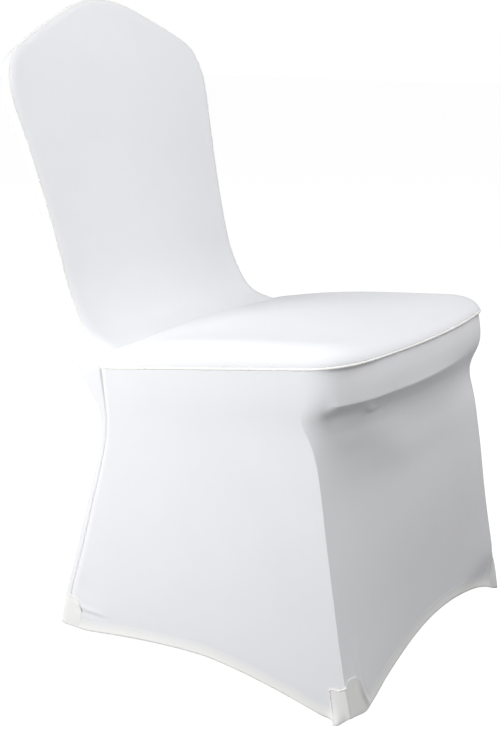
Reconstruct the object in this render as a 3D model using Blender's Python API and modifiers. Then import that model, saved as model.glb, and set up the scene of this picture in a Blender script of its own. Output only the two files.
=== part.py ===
"""Stretch chair cover with a crown-shaped back, a seat, a skirt and four foot pockets.

The cover stands as it does over a chair that is left out: four sewn cloth pieces with air inside.
Metres, +Z up, the floor at z = 0, the front towards -Y and the chair's left-right along X.
"""

import math

import bmesh
import bpy
import numpy as np
from mathutils import Matrix

# Cloth
CLOTH = 0.0016
SEAM_GAP = 0.0012
POCKET_GAP = 0.0006
COLLECTION = "chair_cover"

# The middle of the cover's depth, which becomes y = 0
DEPTH_CENTRE_Y = 0.0506

# Backrest: it leans back, so a level of its seam is found from the height
SHOULDER_Z = 0.7730
SHOULDER_SEAM_Y = 0.3085
LEAN = 0.245
FACE_STEP = (-0.0060, 0.0015)
REAR_STEP = (0.0218, -0.0053)

# Top edge of the back, from its middle to the shoulder
CROWN_COLUMNS = ("half_width", "seam_z")
CROWN = (
    (0.0000, 0.9040),
    (0.0530, 0.8948),
    (0.1060, 0.8743),
    (0.1590, 0.8504),
    (0.1940, 0.8290),
    (0.2075, 0.8035),
)

# Sides of the back, from the shoulder down to the corner where back, seat and skirt meet.
# The face is the front of the padded back beside its seam, the rear is the back's other side.
BACK_COLUMNS = (
    "half_width", "seam_y", "seam_z", "face_y", "face_z", "rear_y", "rear_z", "face_roll", "rear_roll",
)
BACK = (
    (0.2120, 0.3085, 0.7730, 0.3025, 0.7745, 0.3303, 0.7677, 0.010, 0.009),
    (0.2022, 0.2900, 0.7000, 0.2840, 0.7015, 0.3124, 0.6942, 0.010, 0.009),
    (0.1938, 0.2725, 0.6260, 0.2665, 0.6275, 0.2945, 0.6200, 0.010, 0.009),
    (0.1895, 0.2570, 0.5600, 0.2500, 0.5617, 0.2784, 0.5530, 0.011, 0.009),
    (0.1887, 0.2420, 0.5050, 0.2345, 0.5070, 0.2654, 0.4960, 0.012, 0.009),
    (0.1915, 0.2175, 0.4550, 0.2105, 0.4590, 0.2516, 0.4462, 0.014, 0.010),
    (0.2000, 0.1950, 0.4280, 0.1910, 0.4430, 0.2350, 0.4175, 0.022, 0.010),
    (0.2150, 0.1620, 0.4100, 0.1582, 0.4350, 0.2125, 0.3945, 0.036, 0.010),
)
FACE_BULGE = 0.010
REAR_BULGE = 0.005

# Seat: its seam lies in a plane that rises to the front
SEAT_RISE = 0.1435
SEAT_ROLL = 0.044
SEAT_BULGE = 0.006

# Height of the seat's padding over its seam, from front to rear
PAD_COLUMNS = ("seam_y", "pad")
PAD = (
    (-0.2490, 0.0235),
    (-0.1400, 0.0270),
    (-0.0500, 0.0315),
    (0.0400, 0.0320),
    (0.1100, 0.0280),
    (0.1620, 0.0253),
)

# Skirt: one row for each level, from the seat's seam to the hem.
# Level is the share of the way down, rear is the seam at the rear leg and heel the rear face behind it.
# Skew sets the front's left end back, where the cover is pulled over the foot unevenly.
SKIRT_COLUMNS = (
    "level", "rear_x", "rear_y", "front_x", "front_y", "radius", "bow", "skew", "heel_y", "heel_drop",
)
PLAN_COLUMNS = SKIRT_COLUMNS[1:7]
SKIRT = (
    (0.000, 0.2150, 0.1620, 0.2060, -0.2350, 0.072, 0.0137, 0.0000, 0.2125, 0.0155),
    (0.055, 0.2150, 0.1605, 0.2080, -0.2385, 0.071, 0.0135, 0.0000, 0.2040, 0.0070),
    (0.105, 0.2148, 0.1590, 0.2090, -0.2395, 0.068, 0.0130, 0.0000, 0.1850, 0.0030),
    (0.130, 0.2145, 0.1580, 0.2075, -0.2310, 0.060, 0.0140, 0.0000, 0.1760, 0.0010),
    (0.165, 0.2142, 0.1575, 0.2068, -0.2180, 0.048, 0.0180, 0.0000, 0.1720, 0.0000),
    (0.210, 0.2140, 0.1580, 0.2072, -0.2145, 0.038, 0.0230, 0.0000, 0.1712, 0.0000),
    (0.280, 0.2142, 0.1630, 0.2095, -0.2150, 0.028, 0.0250, 0.0000, 0.1768, 0.0000),
    (0.360, 0.2152, 0.1715, 0.2120, -0.2175, 0.021, 0.0230, 0.0010, 0.1858, 0.0000),
    (0.450, 0.2168, 0.1830, 0.2150, -0.2235, 0.017, 0.0190, 0.0030, 0.1975, 0.0000),
    (0.550, 0.2190, 0.1945, 0.2182, -0.2300, 0.015, 0.0140, 0.0060, 0.2090, 0.0000),
    (0.660, 0.2215, 0.2070, 0.2212, -0.2375, 0.013, 0.0100, 0.0080, 0.2215, 0.0000),
    (0.770, 0.2240, 0.2210, 0.2240, -0.2450, 0.012, 0.0060, 0.0100, 0.2350, 0.0000),
    (0.875, 0.2262, 0.2345, 0.2262, -0.2510, 0.012, 0.0000, 0.0110, 0.2480, 0.0000),
    (1.000, 0.2285, 0.2460, 0.2285, -0.2570, 0.012, 0.0000, 0.0120, 0.2595, 0.0000),
)
LEG_ROLL = 0.008

# Hem: it rests low at the feet and rises in an arch between them
HEM_Z = 0.0032
SIDE_ARCH_RISE = 0.026
SIDE_ARCH_PEAK_Y = -0.020
SIDE_ARCH_REAR = 0.225
SIDE_ARCH_FRONT = 0.190
SIDE_ARCH_POWER = 1.6
FRONT_ARCH_RISE = 0.062
FRONT_ARCH_HALF = 0.186
FRONT_ARCH_POWER = 2.0
REAR_ARCH_RISE = 0.045
REAR_ARCH_HALF = 0.184

# Foot pockets
POCKET_HEIGHT = 0.050
POCKET_SIDE_FRONT = 0.034
POCKET_SIDE_REAR = 0.038
POCKET_WIDTH = 0.044
POCKET_INNER_RADIUS = 0.005

# Mesh density: steps along each stretch of the outlines
STEPS_CROWN = 9
STEPS_BACK = 17
STEPS_SEAT = 12
STEPS_CORNER = 6
STEPS_FRONT = 5
STEPS_ROLL = 5
DENSE = 40
MERGE = 1e-6

SHOULDER_SHARE = 0.62
TOP_FADE_ROWS = 12
FRONT_FADE_ROWS = 6
HEM_FADE_ROWS = 7

CLOTH_COLOUR = (0.86, 0.87, 0.88, 1.0)
POCKET_COLOUR = (0.82, 0.82, 0.80, 1.0)
CLOTH_ROUGHNESS = 0.78


def columns(names, rows):
    """The table's columns by name, as arrays."""
    return dict(zip(names, np.array(rows, float).T))


def through(points, steps):
    """Points on a smooth curve through rows of numbers, with steps between each pair of rows."""
    rows = np.asarray(points, float)
    before = 2 * rows[0] - rows[1]
    after = 2 * rows[-1] - rows[-2]
    padded = np.vstack([before, rows, after])
    found = []
    for i in range(1, len(rows)):
        a, b, c, d = padded[i - 1 : i + 3]
        for t in np.linspace(0.0, 1.0, steps, endpoint=False):
            found.append(
                0.5 * (2 * b + (c - a) * t + (2 * a - 5 * b + 4 * c - d) * t**2 + (3 * b - a - 3 * c + d) * t**3)
            )
    found.append(rows[-1])
    return np.array(found)


def spaced(rows, place, steps):
    """Rows at even distances along a dense curve, measured over the columns that give a place."""
    gaps = np.linalg.norm(np.diff(rows[:, place], axis=0), axis=1)
    run = np.concatenate([[0.0], np.cumsum(gaps)])
    wanted = np.linspace(0.0, run[-1], steps + 1)
    return np.column_stack([np.interp(wanted, run, column) for column in rows.T])


def back_outline():
    """Half of the back's seam from the top middle to the seat's corner.

    Each row has half_width, seam, face and rear places and the two rolls, in the order of BACK_COLUMNS.
    """
    crown = columns(CROWN_COLUMNS, CROWN)
    first = dict(zip(BACK_COLUMNS, BACK[0]))
    rows = []
    for half_width, seam_z in zip(crown["half_width"], crown["seam_z"]):
        seam_y = SHOULDER_SEAM_Y + LEAN * (seam_z - SHOULDER_Z)
        rows.append((
            half_width, seam_y, seam_z,
            seam_y + FACE_STEP[0], seam_z + FACE_STEP[1],
            seam_y + REAR_STEP[0], seam_z + REAR_STEP[1],
            first["face_roll"], first["rear_roll"],
        ))
    rows += list(BACK)
    mirrored = np.array(rows[1]) * np.array([-1.0] + [1.0] * (len(BACK_COLUMNS) - 1))
    dense = through(np.vstack([mirrored, rows]), DENSE)[DENSE:]
    shoulder = int(round((len(CROWN) - 1 + SHOULDER_SHARE - 1) * DENSE))
    place = [0, 1, 2]
    upper = spaced(dense[: shoulder + 1], place, STEPS_CROWN)
    lower = spaced(dense[shoulder:], place, STEPS_BACK)
    return np.vstack([upper, lower[1:]])


def plan_outline(rear_x, rear_y, front_x, front_y, radius, bow):
    """Half of a level outline seen from above, from the rear leg round the corner to the front's middle."""
    centre_x = front_x - radius
    centre_y = front_y + radius
    turn = 2 * math.atan2(bow, centre_x)
    points = []
    for share in np.linspace(0.0, 1.0, STEPS_SEAT, endpoint=False):
        points.append((rear_x + (front_x - rear_x) * share, rear_y + (centre_y - rear_y) * share))
    for angle in np.linspace(0.0, math.pi / 2 - turn, STEPS_CORNER, endpoint=False):
        points.append((centre_x + radius * math.cos(angle), centre_y - radius * math.sin(angle)))
    end_x = centre_x + radius * math.sin(turn)
    end_y = centre_y - radius * math.cos(turn)
    sag = end_x * math.tan(turn / 2)
    for share in np.linspace(0.0, 1.0, STEPS_FRONT + 1):
        across = 1.0 - share
        points.append((end_x * across, end_y - sag * (1.0 - across**2)))
    return np.array(points)


def seat_seam_z(y):
    """Height of the seat's seam at a depth."""
    corner = dict(zip(BACK_COLUMNS, BACK[-1]))
    return corner["seam_z"] + (corner["seam_y"] - y) * SEAT_RISE


def arch(offset, half, rise, power):
    """Height of a hem arch above its feet, at an offset from its peak."""
    return rise * max(0.0, 1.0 - abs(offset / half) ** power)


def hem_height(x, y, front_y):
    """Height of the hem under a point of the lowest outline."""
    if y > front_y + CLOTH:
        offset = y - SIDE_ARCH_PEAK_Y
        half = SIDE_ARCH_REAR if offset > 0 else SIDE_ARCH_FRONT
        return HEM_Z + arch(offset, half, SIDE_ARCH_RISE, SIDE_ARCH_POWER)
    return HEM_Z + arch(x, FRONT_ARCH_HALF, FRONT_ARCH_RISE, FRONT_ARCH_POWER)


def mirrored_on(half):
    """A half outline that starts and ends in the middle, carried on round the other side."""
    other = half[-2::-1] * np.array([-1.0, 1.0, 1.0])
    return np.vstack([half, other])


def both_sides(half):
    """A half outline that starts in the middle, with its mirror image before it."""
    other = half[:0:-1] * np.array([-1.0, 1.0, 1.0])
    return np.vstack([other, half])


def unit(vectors):
    """The vectors, each at length 1."""
    return vectors / np.linalg.norm(vectors, axis=1)[:, None]


def rolled_edge(seam, lift, roll, closed):
    """Rows of points that leave the seam along lift and roll over towards the panel's middle."""
    if closed:
        along = np.roll(seam[:-1], -1, axis=0) - np.roll(seam[:-1], 1, axis=0)
        along = np.vstack([along, along[:1]])
    else:
        along = np.gradient(seam, axis=0)
    inward = unit(np.cross(along, lift))
    if np.sum(inward * (seam.mean(axis=0) - seam)) < 0:
        inward = -inward
    rows = []
    for angle in np.linspace(0.0, math.pi / 2, STEPS_ROLL + 1):
        rows.append(seam + math.sin(angle) * lift + (1 - math.cos(angle)) * roll[:, None] * inward)
    rows[0] = rows[0] + unit(rows[1] - rows[0]) * SEAM_GAP / 2
    return rows


def fade(row, rows):
    """1 on the first row, falling smoothly to 0 after that many rows."""
    return max(0.0, 1.0 - row / rows) ** 2


def filled(left, right, top, bottom, top_rows, bottom_rows, bulge):
    """A patch between two side curves whose first and last rows follow the top and bottom curves."""
    last = len(left) - 1
    share = np.linspace(0.0, 1.0, len(top))[:, None]
    top_arch = top - (left[0] * (1 - share) + right[0] * share)
    bottom_arch = bottom - (left[-1] * (1 - share) + right[-1] * share)
    swell = (1 - (2 * share - 1) ** 2) ** 2
    rows = []
    for row in range(last + 1):
        upper, lower = fade(row, top_rows), fade(last - row, bottom_rows)
        straight = left[row] * (1 - share) + right[row] * share
        rows.append(
            straight + upper * top_arch + lower * bottom_arch
            + (1 - upper) * (1 - lower) * swell * bulge[row]
        )
    return rows


def add_grid(mesh, rows):
    """Adds a sheet of quads through rows of points."""
    made = [[mesh.verts.new(point) for point in row] for row in rows]
    for upper, lower in zip(made, made[1:]):
        for i in range(len(upper) - 1):
            mesh.faces.new((upper[i], upper[i + 1], lower[i + 1], lower[i]))


def cloth_material(name, colour):
    """A plain knitted cloth."""
    material = bpy.data.materials.new(name)
    material.use_nodes = True
    shader = material.node_tree.nodes["Principled BSDF"]
    shader.inputs["Base Color"].default_value = colour
    shader.inputs["Roughness"].default_value = CLOTH_ROUGHNESS
    shader.inputs["Metallic"].default_value = 0.0
    return material


def placed(name, mesh, collection, colour):
    """Makes the object from a bmesh, moved so that the cover's depth is centred."""
    bmesh.ops.translate(mesh, verts=mesh.verts, vec=(0.0, -DEPTH_CENTRE_Y, 0.0))
    data = bpy.data.meshes.new(name)
    mesh.to_mesh(data)
    mesh.free()
    piece = bpy.data.objects.new(name, data)
    piece.data.materials.append(cloth_material(name, colour))
    collection.objects.link(piece)
    return piece


def cloth_piece(name, grids, outward, collection):
    """One cut piece of cloth: its outer face from grids, given its thickness inwards."""
    mesh = bmesh.new()
    for rows in grids:
        add_grid(mesh, rows)
    bmesh.ops.remove_doubles(mesh, verts=mesh.verts, dist=MERGE)
    mesh.normal_update()
    agree = sum(
        face.normal.dot(outward(face.calc_center_median())) * face.calc_area() for face in mesh.faces
    )
    if agree < 0:
        bmesh.ops.reverse_faces(mesh, faces=mesh.faces)
    piece = placed(name, mesh, collection, CLOTH_COLOUR)
    piece.data.shade_smooth()
    thick = piece.modifiers.new("Cloth thickness", "SOLIDIFY")
    thick.thickness = CLOTH
    thick.offset = -1.0
    thick.use_even_offset = True
    return piece


def away_from(y, z):
    """A function that gives the direction away from a line across the cover."""
    def direction(point):
        return point - type(point)((0.0, y, z))

    return direction


def inside_back_and_seat(back, plan, collection):
    """The cloth that runs down the front of the back and on over the seat."""
    seat_y = plan[1:, 1]
    seat_z = seat_seam_z(seat_y)
    seat_normal = np.array([0.0, SEAT_RISE, 1.0]) / math.hypot(SEAT_RISE, 1.0)
    seat_seam = np.column_stack([plan[1:, 0], seat_y, seat_z])
    seam = mirrored_on(np.vstack([back[:, [0, 1, 2]], seat_seam]))
    back_lift = np.column_stack([np.zeros(len(back)), back[:, 3:5] - back[:, 1:3]])
    pad = columns(PAD_COLUMNS, PAD)
    seat_lift = np.interp(seat_y, pad["seam_y"], pad["pad"])[:, None] * seat_normal
    lift = mirrored_on(np.vstack([back_lift, seat_lift]))
    half_roll = np.concatenate([back[:, 7], np.full(len(seat_seam), SEAT_ROLL)])
    roll = np.concatenate([half_roll, half_roll[-2::-1]])
    rings = rolled_edge(seam, lift, roll, closed=True)

    loop = rings[-1][:-1]
    count = len(loop)
    middle = count // 2
    half_span = STEPS_CROWN
    top = np.array([loop[i % count] for i in range(-half_span, half_span + 1)])
    right = loop[half_span : middle - half_span + 1]
    left = np.array([loop[(count - i) % count] for i in range(half_span, middle - half_span + 1)])
    bottom = np.array([loop[i] for i in range(middle + half_span, middle - half_span - 1, -1)])
    on_back = np.clip((len(back) - half_span - np.arange(len(right))) / 4.0, 0.0, 1.0)
    size = FACE_BULGE * on_back + SEAT_BULGE * (1 - on_back)
    bulge = unit(lift[half_span : half_span + len(right)]) * size[:, None]
    patch = filled(left, right, top, bottom, TOP_FADE_ROWS, FRONT_FADE_ROWS, bulge)
    outward = away_from(back[-1, 1] * 2, 0.0)
    return seam, cloth_piece("inside_back_and_seat", [rings, patch], outward, collection)


def skirt_section(level):
    """Half of the skirt's outline at a level."""
    table = columns(SKIRT_COLUMNS, SKIRT)
    return plan_outline(*(np.interp(level, table["level"], table[name]) for name in PLAN_COLUMNS))


def skewed(row, level):
    """A whole row of the skirt with its front's left end set back."""
    table = columns(SKIRT_COLUMNS, SKIRT)
    skew, front_x = (np.interp(level, table["level"], table[name]) for name in ("skew", "front_x"))
    rear_y, front_y = row[0, 1], row[:, 1].min()
    leftwards = (row[:, 0] / front_x + 1) / 2
    forwards = (rear_y - row[:, 1]) / (rear_y - front_y)
    return row + (skew * leftwards * forwards)[:, None] * np.array([0.0, 1.0, 0.0])


def skirt_rows(seam):
    """Rows of the skirt from the seat's seam to the hem, each from one rear leg round to the other."""
    foot = skirt_section(1.0)
    front_y = foot[-1, 1]
    hem = np.array([hem_height(x, y, front_y) for x, y in foot])
    top = seam[:, 2]
    shrink = (top - hem) / (top - HEM_Z)
    rows = [both_sides(seam[::-1])]
    for level in columns(SKIRT_COLUMNS, SKIRT)["level"][1:]:
        places = [skirt_section(level * share)[i] for i, share in enumerate(shrink)]
        half = np.column_stack([places, top + (hem - top) * level])
        rows.append(skewed(both_sides(half[::-1]), level))
    return rows


def skirt(rows, collection):
    """The skirt, one cloth round both sides and the front."""
    inset = [row.copy() for row in rows]
    inset[0] = inset[0] + unit(rows[1] - rows[0]) * SEAM_GAP / 2
    for row in inset:
        row[0] += unit((row[1] - row[0])[None])[0] * SEAM_GAP / 2
        row[-1] += unit((row[-2] - row[-1])[None])[0] * SEAM_GAP / 2
    return cloth_piece("skirt", [inset], away_from(0.0, 0.2), collection)


def outside_back(back, rows, collection):
    """The cloth behind the back and between the rear legs, down to the rear hem."""
    table = columns(SKIRT_COLUMNS, SKIRT)
    leg_seam = np.array([row[-1] for row in rows])
    heel = np.column_stack([leg_seam[:, 0], table["heel_y"], leg_seam[:, 2] - table["heel_drop"]])
    half_seam = np.vstack([back[:, [0, 1, 2]], leg_seam[1:]])
    back_heel = np.column_stack([back[:, 0], back[:, 5:7]])
    half_heel = np.vstack([back_heel, heel[1:]])
    half_roll = np.concatenate([back[:, 8], np.full(len(heel) - 1, LEG_ROLL)])
    seam = both_sides(half_seam)
    lift = both_sides(half_heel) - seam
    roll = np.concatenate([half_roll[:0:-1], half_roll])
    rings = rolled_edge(seam, lift, roll, closed=False)

    run = rings[-1]
    middle = len(run) // 2
    top = run[middle - STEPS_CROWN : middle + STEPS_CROWN + 1]
    right = run[middle + STEPS_CROWN :]
    left = run[middle - STEPS_CROWN :: -1]
    share = np.linspace(0.0, 1.0, len(top))[:, None]
    bottom = left[-1] * (1 - share) + right[-1] * share
    bottom[:, 2] += [arch(x, REAR_ARCH_HALF, REAR_ARCH_RISE, FRONT_ARCH_POWER) for x in bottom[:, 0]]
    on_back = np.clip((len(back) - STEPS_CROWN - 4 - np.arange(len(right))) / 6.0, 0.0, 1.0)
    bulge = unit(lift[middle + STEPS_CROWN :]) * REAR_BULGE * on_back[:, None]
    patch = filled(left, right, top, bottom, TOP_FADE_ROWS, HEM_FADE_ROWS, bulge)
    return cloth_piece("outside_back", [rings, patch], away_from(-1.0, 0.45), collection)


def rounded_box(width, depth, radii, steps):
    """Plan outline of a box from its outer corner at the origin, growing to -x and +y."""
    corners = ((0.0, 0.0, -90.0), (0.0, depth, 0.0), (-width, depth, 90.0), (-width, 0.0, 180.0))
    points = []
    for (x, y, start), radius in zip(corners, radii):
        centre_x = x - radius if x == 0.0 else x + radius
        centre_y = y + radius if y == 0.0 else y - radius
        for angle in np.radians(np.linspace(start, start + 90.0, steps + 1)):
            points.append((centre_x + radius * math.cos(angle), centre_y + radius * math.sin(angle)))
    return points


def cutter_box(name, low, high, collection):
    """A box that cuts and isn't part of the cover."""
    mesh = bmesh.new()
    bmesh.ops.create_cube(mesh, size=1.0)
    size = [b - a for a, b in zip(low, high)]
    middle = [(a + b) / 2 for a, b in zip(low, high)]
    bmesh.ops.scale(mesh, verts=mesh.verts, vec=size)
    bmesh.ops.translate(mesh, verts=mesh.verts, vec=middle)
    data = bpy.data.meshes.new(name)
    mesh.to_mesh(data)
    mesh.free()
    box = bpy.data.objects.new(name, data)
    box.hide_render = True
    box.display_type = "WIRE"
    collection.objects.link(box)
    return box


def open_cup(outline):
    """An open cup: a floor with a wall round it, faces outwards."""
    mesh = bmesh.new()
    floor = [mesh.verts.new((x, y, 0.0)) for x, y in outline]
    rim = [mesh.verts.new((x, y, POCKET_HEIGHT)) for x, y in outline]
    mesh.faces.new(floor[::-1])
    for i in range(len(floor)):
        j = (i + 1) % len(floor)
        mesh.faces.new((floor[i], floor[j], rim[j], rim[i]))
    return mesh


def baked(piece):
    """Puts what the modifiers make into the object's own mesh."""
    graph = bpy.context.evaluated_depsgraph_get()
    graph.update()
    data = bpy.data.meshes.new_from_object(piece.evaluated_get(graph))
    piece.modifiers.clear()
    piece.data = data


def foot_pocket(name, side, front, collection, cutters):
    """A pocket for one chair foot: a cup round the cover's corner, slit where the cloth leaves it."""
    upper, lowest = (dict(zip(SKIRT_COLUMNS, row)) for row in SKIRT[-2:])
    twist = 0.0
    radius = LEG_ROLL
    if front:
        radius = lowest["radius"]
        leftwards = (side + 1) / 2
        corner = (lowest["front_x"], lowest["front_y"] + lowest["skew"] * leftwards)
        above = (upper["front_x"], upper["front_y"] + upper["skew"] * leftwards)
        twist = lowest["skew"] / (2 * lowest["front_x"])
        height = seat_seam_z(upper["front_y"])
        depth, steps = POCKET_SIDE_FRONT, STEPS_CORNER
    else:
        corner = (lowest["rear_x"], lowest["heel_y"])
        above = (upper["rear_x"], upper["heel_y"])
        height = BACK[-1][2]
        depth, steps = POCKET_SIDE_REAR, STEPS_ROLL
    rise = height * (1 - upper["level"])
    slope = [(b - a) / rise for a, b in zip(corner, above)]

    outside = CLOTH + POCKET_GAP
    radii = (radius + outside, POCKET_INNER_RADIUS, POCKET_INNER_RADIUS, POCKET_INNER_RADIUS)
    mesh = open_cup(rounded_box(POCKET_WIDTH, depth, radii, steps))
    data = bpy.data.meshes.new(name)
    mesh.to_mesh(data)
    mesh.free()
    pocket = bpy.data.objects.new(name, data)
    pocket.data.materials.append(cloth_material(name, POCKET_COLOUR))
    collection.objects.link(pocket)
    thick = pocket.modifiers.new("Cloth thickness", "SOLIDIFY")
    thick.thickness = CLOTH
    thick.offset = -1.0
    thick.use_even_offset = True

    slit = CLOTH + POCKET_GAP + outside
    low_z, high_z = CLOTH, POCKET_HEIGHT * 1.5
    beside = cutter_box(
        name + "_side_slit", (-slit, depth / 2, low_z), (-CLOTH, depth * 1.5, high_z), cutters
    )
    across = cutter_box(
        name + "_inner_slit", (-POCKET_WIDTH * 1.5, CLOTH, low_z), (-POCKET_WIDTH / 2, slit, high_z), cutters
    )
    for cutter in (beside, across):
        cut = pocket.modifiers.new("Slit", "BOOLEAN")
        cut.operation = "DIFFERENCE"
        cut.object = cutter
    baked(pocket)

    lean = Matrix(((1, 0, slope[0], 0), (0, 1, slope[1] if front else -slope[1], 0), (0, 0, 1, 0), (0, 0, 0, 1)))
    turned = Matrix.Diagonal((1.0, 1.0 if front else -1.0, 1.0, 1.0))
    reach_x = corner[0] + outside - slope[0] * HEM_Z
    reach_y = corner[1] - slope[1] * HEM_Z + (-outside if front else outside)
    seat = Matrix.Translation((reach_x, reach_y - DEPTH_CENTRE_Y, 0.0))
    seat[1][0] = side * twist
    facing = Matrix.Diagonal((side, 1.0, 1.0, 1.0))
    pocket.data.transform(facing @ seat @ turned @ lean)
    if (side < 0) == front:
        pocket.data.flip_normals()
    return pocket


def new_collection(name):
    """A collection in the scene."""
    collection = bpy.data.collections.new(name)
    bpy.context.scene.collection.children.link(collection)
    return collection


def main():
    for old in list(bpy.data.objects):
        bpy.data.objects.remove(old)
    cover = new_collection(COLLECTION)
    cutters = new_collection("cutters")

    back = back_outline()
    top = dict(zip(SKIRT_COLUMNS, SKIRT[0]))
    plan = plan_outline(*(top[name] for name in PLAN_COLUMNS))
    seam, _ = inside_back_and_seat(back, plan, cover)
    seat_seam = seam[len(back) - 1 : len(back) - 1 + len(plan)]
    rows = skirt_rows(seat_seam)
    skirt(rows, cover)
    outside_back(back, rows, cover)
    for front in (True, False):
        for side, hand in ((-1.0, "right"), (1.0, "left")):
            end = "front" if front else "rear"
            foot_pocket(f"foot_pocket_{end}_{hand}", side, front, cover, cutters)


main()
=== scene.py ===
"""Looks of a fitted stretch chair cover: its cloths, seams, hems and foot pockets, with light and camera.

The cover stands in its stretched shape, its four foot pockets at the floor. Everything is in metres in the
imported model's frame: +Z up, the front towards -Y, and the middle of the cover's depth at y = 0.

The shapes below count y from a place in the middle of the seat, and DEPTH_CENTRE_Y brings them to the frame.
"""

from __future__ import annotations

import logging
import math
from dataclasses import dataclass, field
from enum import Enum

import bmesh
import bpy
import numpy as np
from mathutils import Matrix, Vector


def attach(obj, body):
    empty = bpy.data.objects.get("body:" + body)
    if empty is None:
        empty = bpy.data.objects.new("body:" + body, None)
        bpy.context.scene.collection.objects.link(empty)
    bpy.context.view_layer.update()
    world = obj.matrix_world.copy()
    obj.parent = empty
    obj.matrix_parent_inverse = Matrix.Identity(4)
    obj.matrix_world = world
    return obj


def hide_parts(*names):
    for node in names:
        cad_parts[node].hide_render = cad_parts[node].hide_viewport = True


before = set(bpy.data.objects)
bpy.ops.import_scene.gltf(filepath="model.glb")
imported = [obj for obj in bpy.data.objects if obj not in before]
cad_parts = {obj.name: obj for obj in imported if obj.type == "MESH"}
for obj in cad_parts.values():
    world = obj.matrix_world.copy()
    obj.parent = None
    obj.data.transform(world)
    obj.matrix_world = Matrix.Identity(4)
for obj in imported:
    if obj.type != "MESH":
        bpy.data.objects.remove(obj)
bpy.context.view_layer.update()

logging.basicConfig(level=logging.INFO, format="%(name)s: %(message)s")
log = logging.getLogger("chair_cover")

# The middle of the cover's depth, which is y = 0 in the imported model
DEPTH_CENTRE_Y = 0.0506
CLOTH = 0.0012
MERGE_DECIMALS = 6
CORNER_EASE = 0.030
# How far the hem's stitches stand off the cloth
STITCH_LIFT = 0.0002
# Noise in the finishes, in turns per metre, and its layers
MOTTLE_SCALE = 9.0
MOTTLE_DETAIL = 3.0
GATHER_SCALE = 150.0
GATHER_DETAIL = 2.0
# Limits that keep a division from a distance or a reach of nothing
LEAST_LENGTH = 1e-9
LEAST_REACH = 1e-5
# Places on the inner side of a cloth, from which its outer face is told
INSIDE_SKIRT = (0.0, 0.0, 0.2)
UNDER_SEAT_AND_BACK = (0.0, 0.324, 0.0)
AHEAD_OF_BACK = (0.0, -1.0, 0.45)


class Hand(Enum):
    """A side of the cover, right or left as seen from the seat, with the sign of its x."""

    RIGHT = -1.0
    LEFT = 1.0


class End(Enum):
    """An end of the cover."""

    FRONT = "front"
    REAR = "rear"


class ClothSlot(Enum):
    """Material slots of the record."""

    PANEL = "cloth"
    POCKET = "pocket_cloth"


def lengths_along(points: np.ndarray) -> np.ndarray:
    """Distance of each point from the first along a line.

    Args:
        points: places on the line, one row each.

    Returns:
        One running length for each point.
    """
    steps = np.linalg.norm(np.diff(points, axis=0), axis=1)
    return np.concatenate([[0.0], np.cumsum(steps)])


def unit(vectors: np.ndarray) -> np.ndarray:
    """The vectors in the rows, each at length 1."""
    return vectors / np.linalg.norm(vectors, axis=1)[:, None]


def smooth_step(share: np.ndarray | float) -> np.ndarray:
    """A share from 0 to 1 that starts and ends without a corner, and stays there outside that range."""
    held = np.clip(share, 0.0, 1.0)
    return held**2 * (3 - 2 * held)


def through(points: np.ndarray, steps: int) -> np.ndarray:
    """Points on a smooth curve through rows of numbers.

    Args:
        points: the rows that the curve goes through.
        steps: steps between each pair of rows.

    Returns:
        The rows along the curve, the first and last one included.
    """
    rows = np.asarray(points, float)
    padded = np.vstack([2 * rows[0] - rows[1], rows, 2 * rows[-1] - rows[-2]])
    found = []
    for i in range(1, len(rows)):
        a, b, c, d = padded[i - 1 : i + 3]
        for t in np.linspace(0.0, 1.0, steps, endpoint=False):
            cubic = (3 * b - a - 3 * c + d) * t**3
            found.append(0.5 * (2 * b + (c - a) * t + (2 * a - 5 * b + 4 * c - d) * t**2 + cubic))
    found.append(rows[-1])
    return np.array(found)


def spaced(rows: np.ndarray, steps: int) -> np.ndarray:
    """Rows at even distances along a dense curve, measured over their first three columns.

    Args:
        rows: the dense curve.
        steps: how many equal steps it gets.

    Returns:
        The rows at the steps' ends.
    """
    run = lengths_along(rows[:, :3])
    wanted = np.linspace(0.0, run[-1], steps + 1)
    return np.column_stack([np.interp(wanted, run, column) for column in rows.T])


def smooth_at(wanted: float, places: np.ndarray, values: np.ndarray) -> np.ndarray:
    """Values between the rows of a table, on a smooth curve through them.

    Args:
        wanted: the place asked for, inside the table's range.
        places: rising places of the rows.
        values: one row of values for each place.

    Returns:
        The row of values there.
    """
    slopes = np.gradient(values, places, axis=0)
    i = int(np.clip(np.searchsorted(places, wanted, side="right") - 1, 0, len(places) - 2))
    span = places[i + 1] - places[i]
    t = np.clip((wanted - places[i]) / span, 0.0, 1.0)
    keep, move = 2 * t**3 - 3 * t**2 + 1, 3 * t**2 - 2 * t**3
    leave, arrive = t**3 - 2 * t**2 + t, t**3 - t**2
    return (
        keep * values[i] + move * values[i + 1]
        + span * (leave * slopes[i] + arrive * slopes[i + 1])
    )


def eased(values: np.ndarray, run: np.ndarray, reach: float, closed: bool) -> np.ndarray:
    """Values along a line, averaged with their neighbours so that they turn a corner softly.

    Args:
        values: one row for each point of the line.
        run: the points' distances along the line.
        reach: the distance over which the neighbours count.
        closed: whether the line's last point is its first.

    Returns:
        The averaged rows.
    """
    gaps = np.abs(run[:, None] - run[None, :])
    if closed:
        gaps = np.minimum(gaps, run[-1] - gaps)
    widths = np.gradient(run)
    weights = np.exp(-((gaps / reach) ** 2)) * widths[None, :]
    return weights @ values / weights.sum(axis=1, keepdims=True)


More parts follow.
